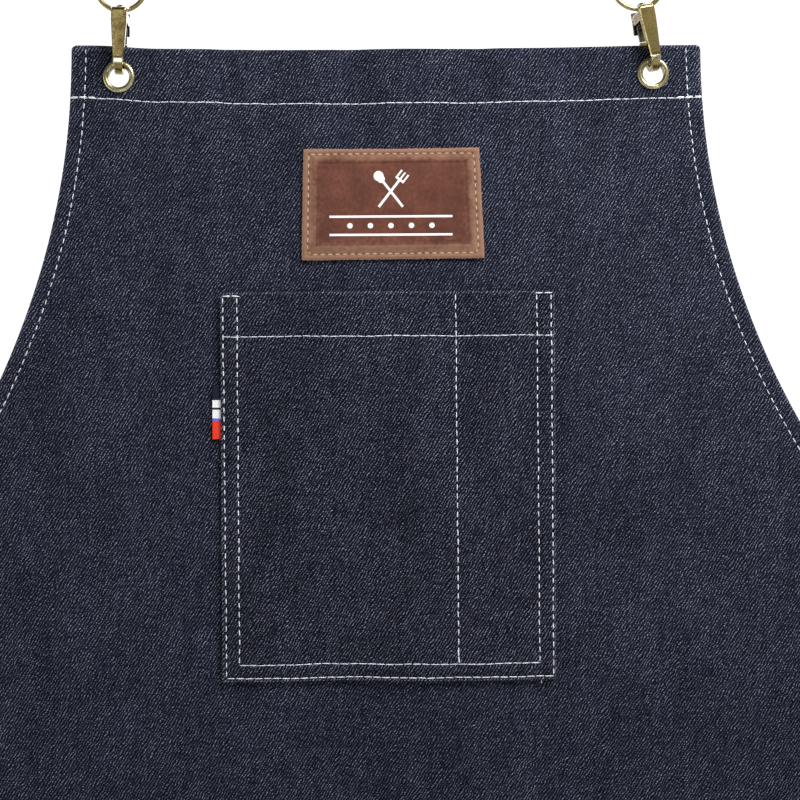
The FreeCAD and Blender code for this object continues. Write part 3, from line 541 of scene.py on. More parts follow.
# %% [markdown]
# ## Denim
# The warp is dyed with indigo, the weft is left the colour of raw cotton. The dye never
# gets to the middle of the yarn, so folds and edges that have rubbed show pale flecks,
# which the mesh marks with an attribute called worn. The face shows mostly warp, the
# back mostly weft. A little sheen stands for the fuzz of loose fibre, and the weave's
# height is only a bump, because real yarn is far finer than any mesh could carry.

# %% Denim materials
def cloth_material(name):
    """A new material, its tree, its shader and its coordinates."""
    made = bpy.data.materials.new(name)
    made.use_nodes = True
    tree = made.node_tree
    return made, tree, tree.nodes["Principled BSDF"], add(tree, "ShaderNodeTexCoord").outputs["Object"]


def bump(height, distance, strength=1.0, under=None):
    """A bump node's normal."""
    made = add(height.id_data, "ShaderNodeBump")
    feed_all(made, Strength=strength, Distance=distance, Height=height)
    if under is not None:
        feed_all(made, Normal=under)
    return made.outputs[0]


def mapped(vector, **settings):
    """The vector moved and scaled."""
    made = add(vector.id_data, "ShaderNodeMapping")
    feed_all(made, Vector=vector, **settings)
    return made.outputs[0]


def marked(tree, label):
    """The value of a mesh attribute."""
    return add(tree, "ShaderNodeAttribute", attribute_name=label).outputs["Fac"]


def grey(level):
    """The same value as red, green and blue."""
    return spot(level, level, level)


def denim(name, warp_dark, warp_light, weft, shift, turned=False):
    """Twill in these colours; turned is the back of the cloth, mostly weft."""
    made, tree, shader, place = cloth_material(name)
    place = mapped(place, Location=shift, Scale=(-1 if turned else 1, 1, 1))
    weave = use_group(tree, twill, Vector=place)
    streaks = mapped(place, Scale=(1.5, 1, 0.55))
    dye = use_group(tree, cloud, Vector=streaks, Size=26 * MM, Fine_Share=0.35)["Cloud"]
    cast = use_group(tree, cloud, Vector=place, Size=9 * MM)["Cloud"]
    warp = blend_colours(ramp(weave["Yarn"], 0.36, 0.66), warp_dark, warp_light)
    tint = blend_colours(ramp(cast, 0.35, 0.65), (0.90, 1.0, 1.0, 1), (1.08, 1.0, 1.04, 1))
    warp = blend_colours(1.0, warp, tint, "MULTIPLY")
    worn = marked(tree, "worn")
    pale = times(weave["Weft"], plus(1.0, times(worn, 1.8)))
    if turned:
        pale = minus(0.92, pale)
    pale = calc("MINIMUM", plus(pale, times(worn, 0.05)), 1.0)
    uneven = 0.08 if turned else 0.22
    level = ramp(dye, 0.3, 0.7, 1 - uneven, 1 + uneven)
    colour = blend_colours(1.0, blend_colours(pale, warp, weft), grey(level), "MULTIPLY")
    feed_all(shader, Base_Color=colour, Roughness=ramp(weave["Yarn"], 0.3, 0.7, 0.78, 0.95),
             Sheen_Weight=0.03, Sheen_Roughness=0.6, Sheen_Tint=(0.75, 0.80, 1.0, 1),
             Specular_IOR_Level=0.04, Normal=bump(weave["Height"], 0.10 * MM, 0.8))
    return made


RAW_COTTON = (0.288, 0.300, 0.368, 1)
denim_face = denim("denim_face", (0.0026, 0.0037, 0.0104, 1), (0.0086, 0.0108, 0.0250, 1),
                   RAW_COTTON, (0, 0, 0))
denim_pocket = denim("denim_pocket", (0.0020, 0.0027, 0.0078, 1), (0.0066, 0.0082, 0.0186, 1),
                     RAW_COTTON, (0.7 * MM, 0, 1.1 * MM))
denim_back = denim("denim_back", (0.02, 0.025, 0.045, 1), (0.05, 0.06, 0.10, 1),
                   (0.30, 0.33, 0.39, 1), (0.3 * MM, 0, 0.2 * MM), turned=True)
print("denim materials:", denim_face.name, denim_pocket.name, denim_back.name)

# %% [markdown]
# ## Laying out a sheet
# Each piece of cloth is a grid primitive. The grid's lines are spread unevenly: close
# together beside an edge or a row of stitches, wide apart in open cloth, so that the
# small dips are in the mesh and its size stays reasonable. The grid is laid on the
# apron by a function from its lines to places, a Solidify modifier gives it the cloth's
# thickness, and a small Bevel rounds the cut or folded edge.

# %% A helper that lays out cloth
def spread(*stops):
    """Grid lines from (place, spacing) stops, each spacing holding up to the next place."""
    lines = []
    for (start, gap), (end, _) in zip(stops, stops[1:]):
        count = max(1, round(abs(end - start) / gap))
        lines += list(np.linspace(start, end, count, endpoint=False))
    return np.array(lines + [stops[-1][0]])


def pick(*pieces):
    """Select these pieces alone, the first of them active."""
    bpy.ops.object.select_all(action="DESELECT")
    for piece in pieces:
        piece.select_set(True)
    bpy.context.view_layer.objects.active = pieces[0]


def use_modifier(piece, kind, **settings):
    """Add a modifier with these settings and apply it."""
    pick(piece)
    bpy.ops.object.modifier_add(type=kind)
    modifier = piece.modifiers[-1]
    for name, value in settings.items():
        setattr(modifier, name, value)
    bpy.ops.object.modifier_apply(modifier=modifier.name)


def edit_mesh(tool, select=None, **settings):
    """Use an edit-mode tool on the active piece, after selecting ALL or nothing if asked."""
    bpy.ops.object.mode_set(mode="EDIT")
    if select:
        bpy.ops.mesh.select_all(action=select)
    tool(**settings)
    bpy.ops.object.mode_set(mode="OBJECT")


def lay_cloth(name, across, down, place, thickness, front, back=None, marks=(),
              edge=0.3 * MM, holes=()):
    """A sheet whose grid lines across and down go where place(across, down) says.
    marks are (attribute, function of x and z) pairs; holes are eyelet centres."""
    steps = {"x_subdivisions": len(across) - 1, "y_subdivisions": len(down) - 1}
    bpy.ops.mesh.primitive_grid_add(size=2, **steps)
    piece = bpy.context.object
    piece.name = piece.data.name = name
    grid = np.empty(len(piece.data.vertices) * 3)
    piece.data.vertices.foreach_get("co", grid)
    grid = grid.reshape(-1, 3)
    column = np.rint((grid[:, 0] + 1) / 2 * (len(across) - 1)).astype(int)
    row = np.rint((1 - grid[:, 1]) / 2 * (len(down) - 1)).astype(int)
    points = np.stack(place(across[column], down[row]), 1)
    for label, value in marks:
        mark = piece.data.attributes.new(label, "FLOAT", "POINT")
        mark.data.foreach_set("value", value(points[:, 0], points[:, 2]).astype(np.float32))
    if holes:
        points = open_holes(points, holes)
    piece.data.vertices.foreach_set("co", points.ravel())
    if holes:
        delete_inside(piece, points, holes)
    piece.data.materials.append(front)
    piece.data.materials.append(back or front)
    use_modifier(piece, "SOLIDIFY", thickness=thickness, offset=-1, use_even_offset=True,
                 material_offset=1, material_offset_rim=0)
    if edge:
        use_modifier(piece, "BEVEL", width=edge, segments=2, limit_method="ANGLE",
                     angle_limit=math.radians(50))
    bpy.ops.object.shade_smooth_by_angle(angle=math.radians(35))
    return piece


HOLE = 5.4 * MM


def open_holes(points, holes):
    """Push the grid's points that are inside an eyelet's hole out to its circle."""
    for x, z in holes:
        away = np.hypot(points[:, 0] - x, points[:, 2] - z)
        near = away < HOLE
        stretch = HOLE / np.maximum(away[near], 1e-6)
        points[near, 0] = x + (points[near, 0] - x) * stretch
        points[near, 2] = z + (points[near, 2] - z) * stretch
    return points


def delete_inside(piece, points, holes):
    """Delete the faces whose corners all lie on an eyelet's circle or inside it."""
    inside = np.zeros(len(points), bool)
    for x, z in holes:
        inside |= np.hypot(points[:, 0] - x, points[:, 2] - z) < 1.001 * HOLE
    corners = np.empty(len(piece.data.loops), int)
    piece.data.loops.foreach_get("vertex_index", corners)
    ends = np.empty(len(piece.data.edges) * 2, int)
    piece.data.edges.foreach_get("vertices", ends)
    piece.data.vertices.foreach_set("select", inside)
    piece.data.edges.foreach_set("select", inside[ends.reshape(-1, 2)].all(1))
    piece.data.polygons.foreach_set("select", inside[corners.reshape(-1, 4)].all(1))
    edit_mesh(bpy.ops.mesh.delete, type="FACE")


print("sheet helper ready")

# %% [markdown]
# ## The panel
# The bib and skirt are one cut of denim. Its grid has columns that follow the outline:
# a band of fixed width beside each edge, where the hems and their stitches are, and
# between the bands columns that spread out as the skirt widens. The band keeps the
# seam's dips at the right distance from the edge all the way down.

# %% The denim panel
EDGE_BAND = 22 * MM
beside_edge = spread((0, 2.2 * MM), (2 * MM, 0.8 * MM), (6 * MM, 1.8 * MM), (14 * MM, 0.8 * MM),
                     (18 * MM, 1.3 * MM), (EDGE_BAND, 0))
between_bands = np.linspace(-1, 1, 112)[1:-1]
panel_columns = np.concatenate([-1 - beside_edge[::-1], between_bands, 1 + beside_edge])
panel_rows = BIB_TOP - spread((0, 0.55 * MM), (3 * MM, 1.5 * MM), (21 * MM, 0.7 * MM),
                              (27 * MM, 2.2 * MM), (60 * MM, 3.4 * MM), (300 * MM, 2.4 * MM),
                              (346 * MM, 5.5 * MM), (820 * MM, 0.9 * MM), (831 * MM, 2.2 * MM),
                              (BIB_TOP - HEM_FOOT, 0))


def across_panel(column, z):
    """Sideways place of a column at a height: up to 1 it is a share of the cloth between
    the bands, and what is over 1 is a distance into the band."""
    inner = (half_width(z) - EDGE_BAND) * np.minimum(np.abs(column), 1)
    return np.sign(column) * (inner + np.maximum(np.abs(column) - 1, 0))


def on_panel(x, z, layers=0.0):
    """A point of the panel's front, or that far behind it, once the bib has sagged."""
    return x, panel_front(x, z) + layers, z - sag(x, z)


def panel_place(column, z, layers=0.0):
    """The point of the panel where a column crosses a height."""
    return on_panel(across_panel(column, z), z, layers)


def rubbed(x, z):
    """Wear along the panel's turned edges."""
    nearest = np.minimum(np.minimum(in_from_side(x, z), BIB_TOP - z), z - HEM_FOOT)
    return 0.8 * (1 - ease(nearest / (1.6 * MM)))


panel = lay_cloth("denim_panel", panel_columns, panel_rows, panel_place, DENIM,
                  denim_face, denim_back, marks=[("worn", rubbed)], holes=EYELETS)
print("panel faces:", len(panel.data.polygons))

# %% [markdown]
# ## The hems
# Each edge of the panel is turned to the back and sewn down, so from behind a strip of
# the dark face shows along every edge. The strips could be one piece with the panel,
# but real hems are sewn one at a time and meet in butt joints, so each is its own
# sheet laid just behind the panel, two layers thick. The two with eyelets get holes.

# %% Hem strips behind the panel
HEM = 1.0 * MM
TOUCH = 0.02 * MM
ARM_STRIP = 8 * MM
SKIRT_STRIP = 20 * MM
hem_back = DENIM + TOUCH


def strip(name, across, down, place, holes=()):
    """A hem strip, laid behind the panel."""
    return lay_cloth(name, across, down, lambda a, z: place(a, z, hem_back), HEM, denim_face,
                     marks=[("worn", rubbed)], edge=0.32 * MM, holes=holes)


def beside_armhole(sign):
    """The place of a point by its distance in from one armhole's curve."""
    def place(inset, z, layers):
        """A point of the arc of that inset, at a height."""
        x = ARM_MIDDLE - np.sqrt((ARM_RADIUS + np.abs(inset)) ** 2 - (BIB_TOP - z) ** 2)
        return on_panel(sign * x, z, layers)
    return place


def beside_skirt(sign):
    """The place of a point by its distance in from one side of the skirt."""
    return lambda inset, z, layers: on_panel(sign * (SKIRT_HALF - np.abs(inset)), z, layers)


top_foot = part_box("top_hem")[0].z - 1.4 * MM
top_rows = spread((BIB_TOP, 0.7 * MM), (BIB_TOP - 3 * MM, 1.6 * MM), (top_foot, 0))
hems = {"top_hem": strip("top_hem_strip", panel_columns, top_rows, panel_place, EYELETS[:2])}
for side, sign, eyelet in (("left", -1, EYELETS[2]), ("right", 1, EYELETS[3])):
    inwards = slice(None) if sign < 0 else slice(None, None, -1)
    arm_rows = spread((top_foot, 2.6 * MM), (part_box("armhole_hem_" + side)[0].z, 0))
    hems["armhole_hem_" + side] = strip(
        "armhole_strip_" + side, -sign * np.linspace(0, ARM_STRIP, 8)[inwards],
        arm_rows, beside_armhole(sign))
    skirt_lo, skirt_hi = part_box("skirt_hem_" + side)
    skirt_rows = spread((skirt_hi.z, 1.9 * MM), (skirt_hi.z - 32 * MM, 6 * MM), (skirt_lo.z, 0))
    hems["skirt_hem_" + side] = strip(
        "skirt_strip_" + side, -sign * spread((0, 1.6 * MM), (SKIRT_STRIP, 0))[inwards],
        skirt_rows, beside_skirt(sign), [eyelet])
foot_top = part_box("bottom_hem")[1].z
foot_rows = spread((foot_top, 2.2 * MM), (HEM_FOOT + 3 * MM, 0.7 * MM), (HEM_FOOT, 0))
hems["bottom_hem"] = strip("bottom_strip", panel_columns, foot_rows, panel_place)
print("hem strips:", sorted(hems))

# %% [markdown]
# ## The pocket
# The pocket is a rectangle with its edges turned under and two rows of stitches round
# three sides, and one row across its hemmed mouth. A vertical row parts off a slot for
# a pen. Its border lies close to the bib, the cloth puffs between the two rows, and
# the mouth stands off a little, most in the middle of each compartment.
# The same drape function carries it, with its own height above the bib added.

# %% The pocket
pocket_lo, pocket_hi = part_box("pocket")
DIVIDER = 30.2 * MM
MOUTH_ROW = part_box("pocket_mouth_hem")[0].z + 0.6 * MM
OUTER_ROW = 1.5 * MM
INNER_ROW = 7.5 * MM
FOOT_INNER = pocket_lo.z + 7.4 * MM


def ridge(distance, width):
    """1 on a line, falling away to 0 over about twice the width."""
    return np.exp(-((distance / width) ** 2))


def pocket_front(x, z):
    """Place of the pocket's front surface. The heights in it are millimetres off the bib."""
    x, z = np.asarray(x, float), np.asarray(z, float)
    foot = z - pocket_lo.z
    border = np.minimum(np.minimum(x - pocket_lo.x, pocket_hi.x - x), foot)
    stand = 1.75 + 0.60 * (1 - ease((border - 6.5 * MM) / (4 * MM)))
    stand = stand + 0.22 * ridge(border - 4.6 * MM, 1.8 * MM)
    stand = stand - 0.45 * ridge(border - OUTER_ROW, 0.9 * MM)
    stand = stand - 0.40 * ridge(border - INNER_ROW, 0.9 * MM)
    stand = stand - 0.15 * (1 - ease(border / (1.0 * MM)))
    left_part = (x - pocket_lo.x - 9 * MM) / (DIVIDER - pocket_lo.x - 10 * MM)
    right_part = (x - DIVIDER - 1 * MM) / (pocket_hi.x - DIVIDER - 10 * MM)
    belly = 2.6 * np.sin(np.pi * np.clip(left_part, 0, 1)) ** 1.3
    belly = belly + 1.7 * np.sin(np.pi * np.clip(right_part, 0, 1)) ** 1.3
    rise = ease(foot / (pocket_hi.z - pocket_lo.z)) ** 1.6
    stand = stand + belly * (rise + 0.3 * ease((foot - 8 * MM) / (12 * MM)))
    stand = stand - 0.30 * ridge(x - DIVIDER, 1.2 * MM)
    stand = stand - 0.25 * ridge(z - MOUTH_ROW, 1.1 * MM) + 0.2 * ease((z - MOUTH_ROW) / (3 * MM))
    return FRONT + drape(x, z) - stand * MM


def pocket_rubbed(x, z):
    """Wear on the pocket's turned edges and along its mouth."""
    to_side = np.minimum(x - pocket_lo.x, pocket_hi.x - x)
    to_end = np.minimum(z - pocket_lo.z, pocket_hi.z - z)
    return 1 - ease(np.minimum(to_side, to_end) / (1.1 * MM))


def on_pocket(x, z, layers=0.0):
    """A point of the pocket's front, or that far behind it."""
    return x, pocket_front(x, z) + layers, z


pocket_columns = spread((pocket_lo.x, 0.6 * MM), (pocket_lo.x + 11 * MM, 2.0 * MM),
                        (DIVIDER - 4 * MM, 0.8 * MM), (DIVIDER + 4 * MM, 2.0 * MM),
                        (pocket_hi.x - 11 * MM, 0.6 * MM), (pocket_hi.x, 0))
pocket_rows = spread((pocket_hi.z, 0.9 * MM), (pocket_hi.z - 4 * MM, 2.4 * MM),
                     (MOUTH_ROW + 4 * MM, 0.7 * MM), (MOUTH_ROW - 3 * MM, 2.6 * MM),
                     (pocket_lo.z + 11 * MM, 0.6 * MM), (pocket_lo.z, 0))
pocket = lay_cloth("denim_pocket_front", pocket_columns, pocket_rows, on_pocket,
                   DENIM, denim_pocket, denim_back, marks=[("worn", pocket_rubbed)])
mouth_lo, mouth_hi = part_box("pocket_mouth_hem")
mouth_hem = lay_cloth(
    "pocket_mouth_strip", spread((mouth_lo.x, 2.2 * MM), (mouth_hi.x, 0)),
    spread((mouth_hi.z, 1.6 * MM), (mouth_lo.z, 0)),
    lambda x, z: on_pocket(x, z, hem_back), 0.45 * MM, denim_pocket, edge=0.15 * MM)
print("pocket faces:", len(pocket.data.polygons))

# %% [markdown]
# ## Thread
# Topstitching thread is two plies twisted together, so a single stitch is a small
# grain with slanting stripes, painted as shade where the plies dip. The stripes read
# the stitch's own UV map, so that they follow each stitch wherever it lies. Cotton is
# dull and slightly uneven in tone.

# %% Thread materials
def thread(name, light, shade):
    """Two-ply thread: its stripes of painted shade follow the UV map that each stitch has."""
    made, tree, shader, place = cloth_material(name)
    lying = split(add(tree, "ShaderNodeUVMap").outputs[0])
    turns = plus(times(lying["X"], 12.566), times(lying["Y"], 22.0))
    ply = plus(times(calc("SINE", turns), 0.5), 0.5)
    patchy = use_group(tree, cloud, Vector=place, Size=5 * MM)["Cloud"]
    # painted shade: the grooves between the plies blend towards the shade colour
    share = times(plus(times(ply, 0.55), 0.45), ramp(patchy, 0.25, 0.6, 0.75, 1.0))
    feed_all(shader, Base_Color=blend_colours(share, shade, light), Sheen_Weight=0.15,
             Roughness=ramp(ply, 0, 1, 0.9, 0.7), Normal=bump(ply, 0.08 * MM, 0.7))
    return made


cotton = thread("cotton_thread", (0.84, 0.87, 0.93, 1), (0.56, 0.59, 0.66, 1))
waxed = thread("waxed_thread", (0.66, 0.51, 0.27, 1), (0.37, 0.25, 0.12, 1))
print("threads:", cotton.name, waxed.name)

# %% [markdown]
# ## One stitch, sewn many times
# Between two needle holes a stitch is a grain that is thickest in its middle and dives
# into the cloth at both ends. It is modelled once from a sphere whose poles lie along
# the seam, with its ends pulled down. Each row then takes copies of it, laid end to
# end along a path that lies on the cloth, every one slightly different in length and
# angle. A row could be one long tube, but then no stitch would dive, and the broken
# line that a sewn row makes would be lost.

# %% The stitch and the sewing helper
bpy.ops.mesh.primitive_uv_sphere_add(
    segments=8, ring_count=6, radius=0.5, rotation=(0, math.pi / 2, 0))
stitch = bpy.context.object
stitch.name = "one_stitch"
bpy.ops.object.transform_apply(location=False, rotation=True, scale=False)
edit_mesh(bpy.ops.mesh.select_all, action="DESELECT")
for vertex in stitch.data.vertices:
    vertex.select = abs(vertex.co.x) > 0.4
edit_mesh(bpy.ops.transform.translate, value=(0, 0, -0.45))
bpy.ops.object.shade_smooth()
print("stitch faces:", len(stitch.data.polygons))

PITCH = 4.0 * MM
THREAD = 0.52 * MM


def along_path(path, distance, places):
    """Points of a path at these distances along it."""
    return np.array([np.interp(places, distance, path[:, k]) for k in range(3)]).T


def sew(name, runs, paint, seed):
    """Rows of stitches as one piece. A run is (path, outward, pitch, cover, width): outward
    is -1 on the front and 1 on the back, cover is the stitch's share of its pitch."""
    luck = random.Random(seed)
    copies = []
    for path, outward, pitch, cover, width in runs:
        path = np.stack(np.broadcast_arrays(*path), 1)
        steps = np.linalg.norm(np.diff(path, axis=0), axis=1)
        distance = np.concatenate([[0], np.cumsum(steps)])
        count = max(1, round(distance[-1] / pitch))
        holes = along_path(path, distance, np.linspace(0, distance[-1], count + 1))
        for start, end in zip(holes, holes[1:]):
            along = Vector(end - start)
            length = along.length * cover * luck.uniform(0.93, 1.05)
            along.normalize()
            side = Vector((0, outward, 0)).cross(along).normalized()
            along = (along + side * luck.uniform(-0.045, 0.045)).normalized()
            side = Vector((0, outward, 0)).cross(along).normalized()
            up = along.cross(side)
            thick = width * luck.uniform(0.88, 1.12)
            middle = Vector((start + end) / 2) + side * luck.uniform(-0.07, 0.07) * MM
            place = Matrix((along * length, side * thick, up * thick * 0.8)).transposed().to_4x4()
            place.translation = middle + up * thick * 0.16
            copy = stitch.copy()
            copy.data = stitch.data.copy()
            copy.data.transform(place)
            bpy.context.scene.collection.objects.link(copy)
            copies.append(copy)
    pick(*copies)
    bpy.ops.object.join()
    row = bpy.context.object
    row.name = row.data.name = name
    row.data.materials.append(paint)
    print(name, "has", len(copies), "stitches")
    return row


# %% [markdown]
# ## The rows on the panel
# Each hem has its row: across the bib, down each armhole, and round the skirt. The bib's
# row is sewn back over itself at both ends, so it is thicker there. A machine stitch is
# locked, so the same row shows on the back, and each path is sewn on both faces.
# Stitches across the bib look longer than those running down, since they lie over the
# warp instead of sinking between its yarns.

# %% Sewing the hems
FLAT_COVER = 1.16
DOWN_COVER = 0.74
TACK = 10.5 * MM
ROW_END = BIB_HALF + 0.9 * MM


def both_faces(x, z, cover, back_layers, width=THREAD):
    """The same row on the cloth's front and on the back of its hem."""
    return [(on_panel(x, z), -1, PITCH, cover, width),
            (on_panel(x, z, back_layers), 1, PITCH, cover, width)]


through_hem = DENIM + HEM + TOUCH
across = np.linspace(-1, 1, 240) * ROW_END
rows = both_faces(across, top_row_height(across), FLAT_COVER, through_hem, THREAD * 0.88)
for sign in (-1, 1):
    across = sign * np.linspace(ROW_END, BIB_HALF - TACK, 20)
    height = top_row_height(across) + 0.45 * MM
    rows += both_faces(across, height, 1.0, through_hem, THREAD * 1.1)[:1]
sewn = {"top_hem_thread": sew("top_hem_stitches", rows, cotton, 3)}
for side, sign in (("left", -1), ("right", 1)):
    z = BIB_TOP - np.linspace(0.6 * MM, waist_depth - 3 * MM, 400)
    x = sign * (ARM_MIDDLE - np.sqrt((ARM_RADIUS + ARM_ROW) ** 2 - (BIB_TOP - z) ** 2))
    rows = both_faces(x, z, DOWN_COVER, through_hem, THREAD * 0.88)
    sewn["armhole_thread_" + side] = sew("armhole_stitches_" + side, rows, cotton, 5 + sign)
skirt_x, foot_z = SKIRT_HALF - SKIRT_ROW, HEM_FOOT + FOOT_ROW
start_z = WAIST - 6 * MM
corners = ((-skirt_x, start_z), (-skirt_x, foot_z), (skirt_x, foot_z), (skirt_x, start_z))
x, z = np.concatenate([np.linspace(a, b, 200) for a, b in zip(corners, corners[1:])]).T
rows = both_faces(x, z, DOWN_COVER, through_hem)
sewn["skirt_thread"] = sew("skirt_stitches", rows, cotton, 8)

# %% [markdown]
# ## The rows on the pocket
# Two rows hold the pocket, six millimetres apart. They were sewn by eye, so each drifts
# a little from the edge that it follows. Short bars lock the mouth's two corners, the
# pen slot's row ends in a thick back tack, and one loose end of thread shows by the foot.

# %% Sewing the pocket
def line(x0, z0, x1, z1, count=160):
    """A nearly straight row between two places in millimetres."""
    x, z = np.linspace(x0, x1, count) * MM, np.linspace(z0, z1, count) * MM
    ends = ease(np.arange(count) / 8) * ease((count - 1 - np.arange(count)) / 8)
    stray = hand(x + z + (x0 + z0) * MM) * ends
    return (x, z + stray) if abs(x1 - x0) > abs(z1 - z0) else (x + 0.7 * stray, z)


foot_outer = (pocket_lo.z + OUTER_ROW) / MM
foot_inner = FOOT_INNER / MM
mouth = pocket_hi.z / MM
mouth_row = MOUTH_ROW / MM
ROWS = [
    ((-72.2, mouth - 1.6, -71.4, foot_outer), DOWN_COVER, 1.0),
    ((-71.4, foot_outer, 72.2, foot_outer), FLAT_COVER, 0.88),
    ((72.2, foot_outer, 71.8, mouth - 0.8), DOWN_COVER, 1.0),
    ((-66.0, mouth - 1.6, -65.7, foot_inner), DOWN_COVER, 1.0),
    ((-65.7, foot_inner, 66.1, foot_inner), FLAT_COVER, 0.88),
    ((66.1, foot_inner, 65.6, mouth - 0.8), DOWN_COVER, 1.0),
    ((-72.6, mouth_row, 72.6, mouth_row), 1.2, 0.82),
    ((30.0, mouth - 0.6, 30.4, foot_inner), 0.82, 1.0),
    ((-72.4, mouth - 1.7, -64.6, mouth - 1.7), 1.05, 1.1),
    ((72.4, mouth - 0.9, 64.8, mouth - 0.9), 1.05, 1.1),
    ((30.1, foot_inner + 6.5, 30.7, foot_inner + 0.3), 1.05, 1.2),
]
rows = []
for ends, cover, thick in ROWS:
    x, z = line(*ends)
    rows.append((on_pocket(x, z), -1, PITCH, cover, THREAD * thick))
    if min(ends[1], ends[3]) < mouth_row - 1:
        rows.append((on_panel(x, z, DENIM), 1, PITCH, cover, THREAD * thick))
x, z = line(66.9, pocket_lo.z / MM - 0.2, 67.1, pocket_lo.z / MM - 2.4, 8)
rows.append((on_panel(x, z), -1, 3 * MM, 1.0, THREAD * 0.8))
sewn["pocket_thread"] = sew("pocket_stitches", rows, cotton, 12)

# %% [markdown]
# ## The leather patch
# The patch is pull-up leather: waxed hide that goes pale where it is bent or pressed,
# so its border is tan and its middle a deep red brown. It was cut by hand, which left
# the edge slightly ragged, and a frame is pressed in round the middle.
# The mesh carries all of that: the uneven outline, the pressed frame and a needle hole
# at each end of each stitch. Two attributes, border and hole, tell the material where
# it is pale and where the needle holes get painted shade, almost black.

# %% Leather
grain, given, gives = start_group(
    "grain",
    [("Vector", "Vector", None), ("Size", "Float", 0.9 * MM)],
    [("Pebble", "Float"), ("Height", "Float")],
)
where = enlarge(given)
cells = add(grain, "ShaderNodeTexVoronoi", feature="DISTANCE_TO_EDGE")
feed_all(cells, Vector=where)
creases = ramp(cells.outputs["Distance"], 0.0, 0.22)
pores = noise(where, 2.6, 3.0)
feed(gives["Pebble"], times(creases, ramp(pores, 0.3, 0.7, 0.7, 1.0)))
feed(gives["Height"], plus(times(creases, 0.6), times(pores, 0.5)))


def leather(name, deep, middle, pale, pebble, depth):
    """Waxed hide; border is where it has gone pale, hole where the needle went in, painted almost black
    as shade.
    """
    made, tree, shader, place = cloth_material(name)
    skin = use_group(tree, grain, Vector=place, Size=pebble)
    wax = use_group(tree, cloud, Vector=place, Size=9 * MM, Fine_Share=0.4)["Cloud"]
    colour = blend_colours(ramp(wax, 0.32, 0.68), deep, middle)
    uneven = plus(marked(tree, "border"), times(minus(wax, 0.5), 1.3))
    colour = blend_colours(ramp(uneven, 0.05, 1.0), colour, pale)
    dry = minus(1, skin["Pebble"])
    colour = blend_colours(times(dry, 0.35), colour, deep)
    # painted shade: the needle holes are darkened almost to black
    colour = blend_colours(marked(tree, "hole"), colour, (0.012, 0.006, 0.004, 1))
    feed_all(shader, Base_Color=colour, Roughness=ramp(uneven, 0, 0.8, 0.42, 0.72),
             Specular_IOR_Level=0.25, Normal=bump(skin["Height"], depth, 0.7))
    return made


patch_hide = leather("patch_hide", (0.082, 0.020, 0.009, 1), (0.165, 0.050, 0.026, 1),
                     (0.33, 0.180, 0.118, 1), 0.7 * MM, 0.07 * MM)
strap_hide = leather("strap_hide", (0.055, 0.020, 0.009, 1), (0.125, 0.048, 0.020, 1),
                     (0.27, 0.13, 0.06, 1), 1.1 * MM, 0.12 * MM)
print("leathers:", patch_hide.name, strap_hide.name)

# %% The patch
PATCH_CORNERS = np.array([[-36.5, -338.9], [40.8, -338.7], [-37.6, -387.9], [42.9, -387.3]]) * MM
PATCH_FACE = patch_lo.y - FRONT
PATCH_INSET = 2.5 * MM
FRAME_INSET = 6.6 * MM
PATCH_PITCH = 3.25 * MM
EDGES = ((0, 1), (1, 3), (3, 2), (2, 0))


def in_from_patch_edge(x, z):
    """How far a point is inside the patch's four straight edges."""
    nearest = np.full(np.shape(x), 1.0)
    for a, b in EDGES:
        (ax, az), (bx, bz) = PATCH_CORNERS[a], PATCH_CORNERS[b]
        long = math.hypot(bx - ax, bz - az)
        nearest = np.minimum(nearest, -((bx - ax) * (z - az) - (bz - az) * (x - ax)) / long)
    return nearest


def patch_point(a, d):
    """Sideways place and height of the patch's point (a, d), each 0 to 1."""
    top = PATCH_CORNERS[0] + np.multiply.outer(a, PATCH_CORNERS[1] - PATCH_CORNERS[0])
    foot = PATCH_CORNERS[2] + np.multiply.outer(a, PATCH_CORNERS[3] - PATCH_CORNERS[2])
    point = top + (foot - top) * d[..., None]
    return point[..., 0], point[..., 1]


def patch_ring(inset, count=90):
    """A closed path round the patch, at an inset from its edges."""
    wide = PATCH_CORNERS[1][0] - PATCH_CORNERS[0][0]
    tall = PATCH_CORNERS[0][1] - PATCH_CORNERS[2][1]
    u, v = inset / wide, inset / tall
    way = np.array([[u, v], [1 - u, v], [1 - u, 1 - v], [u, 1 - v], [u, v]])
    sides = [np.linspace(a, b, count, endpoint=False) for a, b in zip(way, way[1:])]
    t = np.concatenate(sides + [way[-1:]])
    return patch_point(t[:, 0], t[:, 1])


ring_x, ring_z = patch_ring(PATCH_INSET)
ring_length = np.concatenate([[0], np.cumsum(np.hypot(np.diff(ring_x), np.diff(ring_z)))])
hole_at = np.linspace(0, ring_length[-1], round(ring_length[-1] / PATCH_PITCH) + 1)[:-1]
NEEDLE = np.stack([np.interp(hole_at, ring_length, along) for along in (ring_x, ring_z)], 1)


def needle_holes(x, z):
    """1 at the middle of a needle hole, 0 outside it."""
    nearest = np.full(np.shape(x), 1.0)
    for hx, hz in NEEDLE:
        nearest = np.minimum(nearest, np.hypot(x - hx, z - hz))
    return 1 - ease(nearest / (0.55 * MM))


def patch_front(x, z):
    """Place of the patch's front surface."""
    x, z = np.asarray(x, float), np.asarray(z, float)
    inside = in_from_patch_edge(x, z)
    y = FRONT + drape(x, z) + PATCH_FACE
    y = y + dip(inside - PATCH_INSET, 0.22 * MM, 0.9 * MM)
    y = y + dip(inside - FRAME_INSET, 0.10 * MM, 0.45 * MM)
    y = y + 0.4 * MM * (1 - ease(inside / (1.3 * MM)))
    puffed = ease((inside - 3.4 * MM) / (2 * MM)) * (1 - ease((inside - 5.2 * MM) / (1.4 * MM)))
    return y - 0.25 * MM * puffed


CUT = random.Random(23)
cut_waves = [(CUT.uniform(0.15, 5.5) / MM, CUT.uniform(0, 6.28), CUT.uniform(0.02, 0.05))
             for _ in range(14)]


def ragged(s):
    """The hand cut's error along an edge."""
    return sum(a * np.sin(k * s + p) for k, p, a in cut_waves) * MM


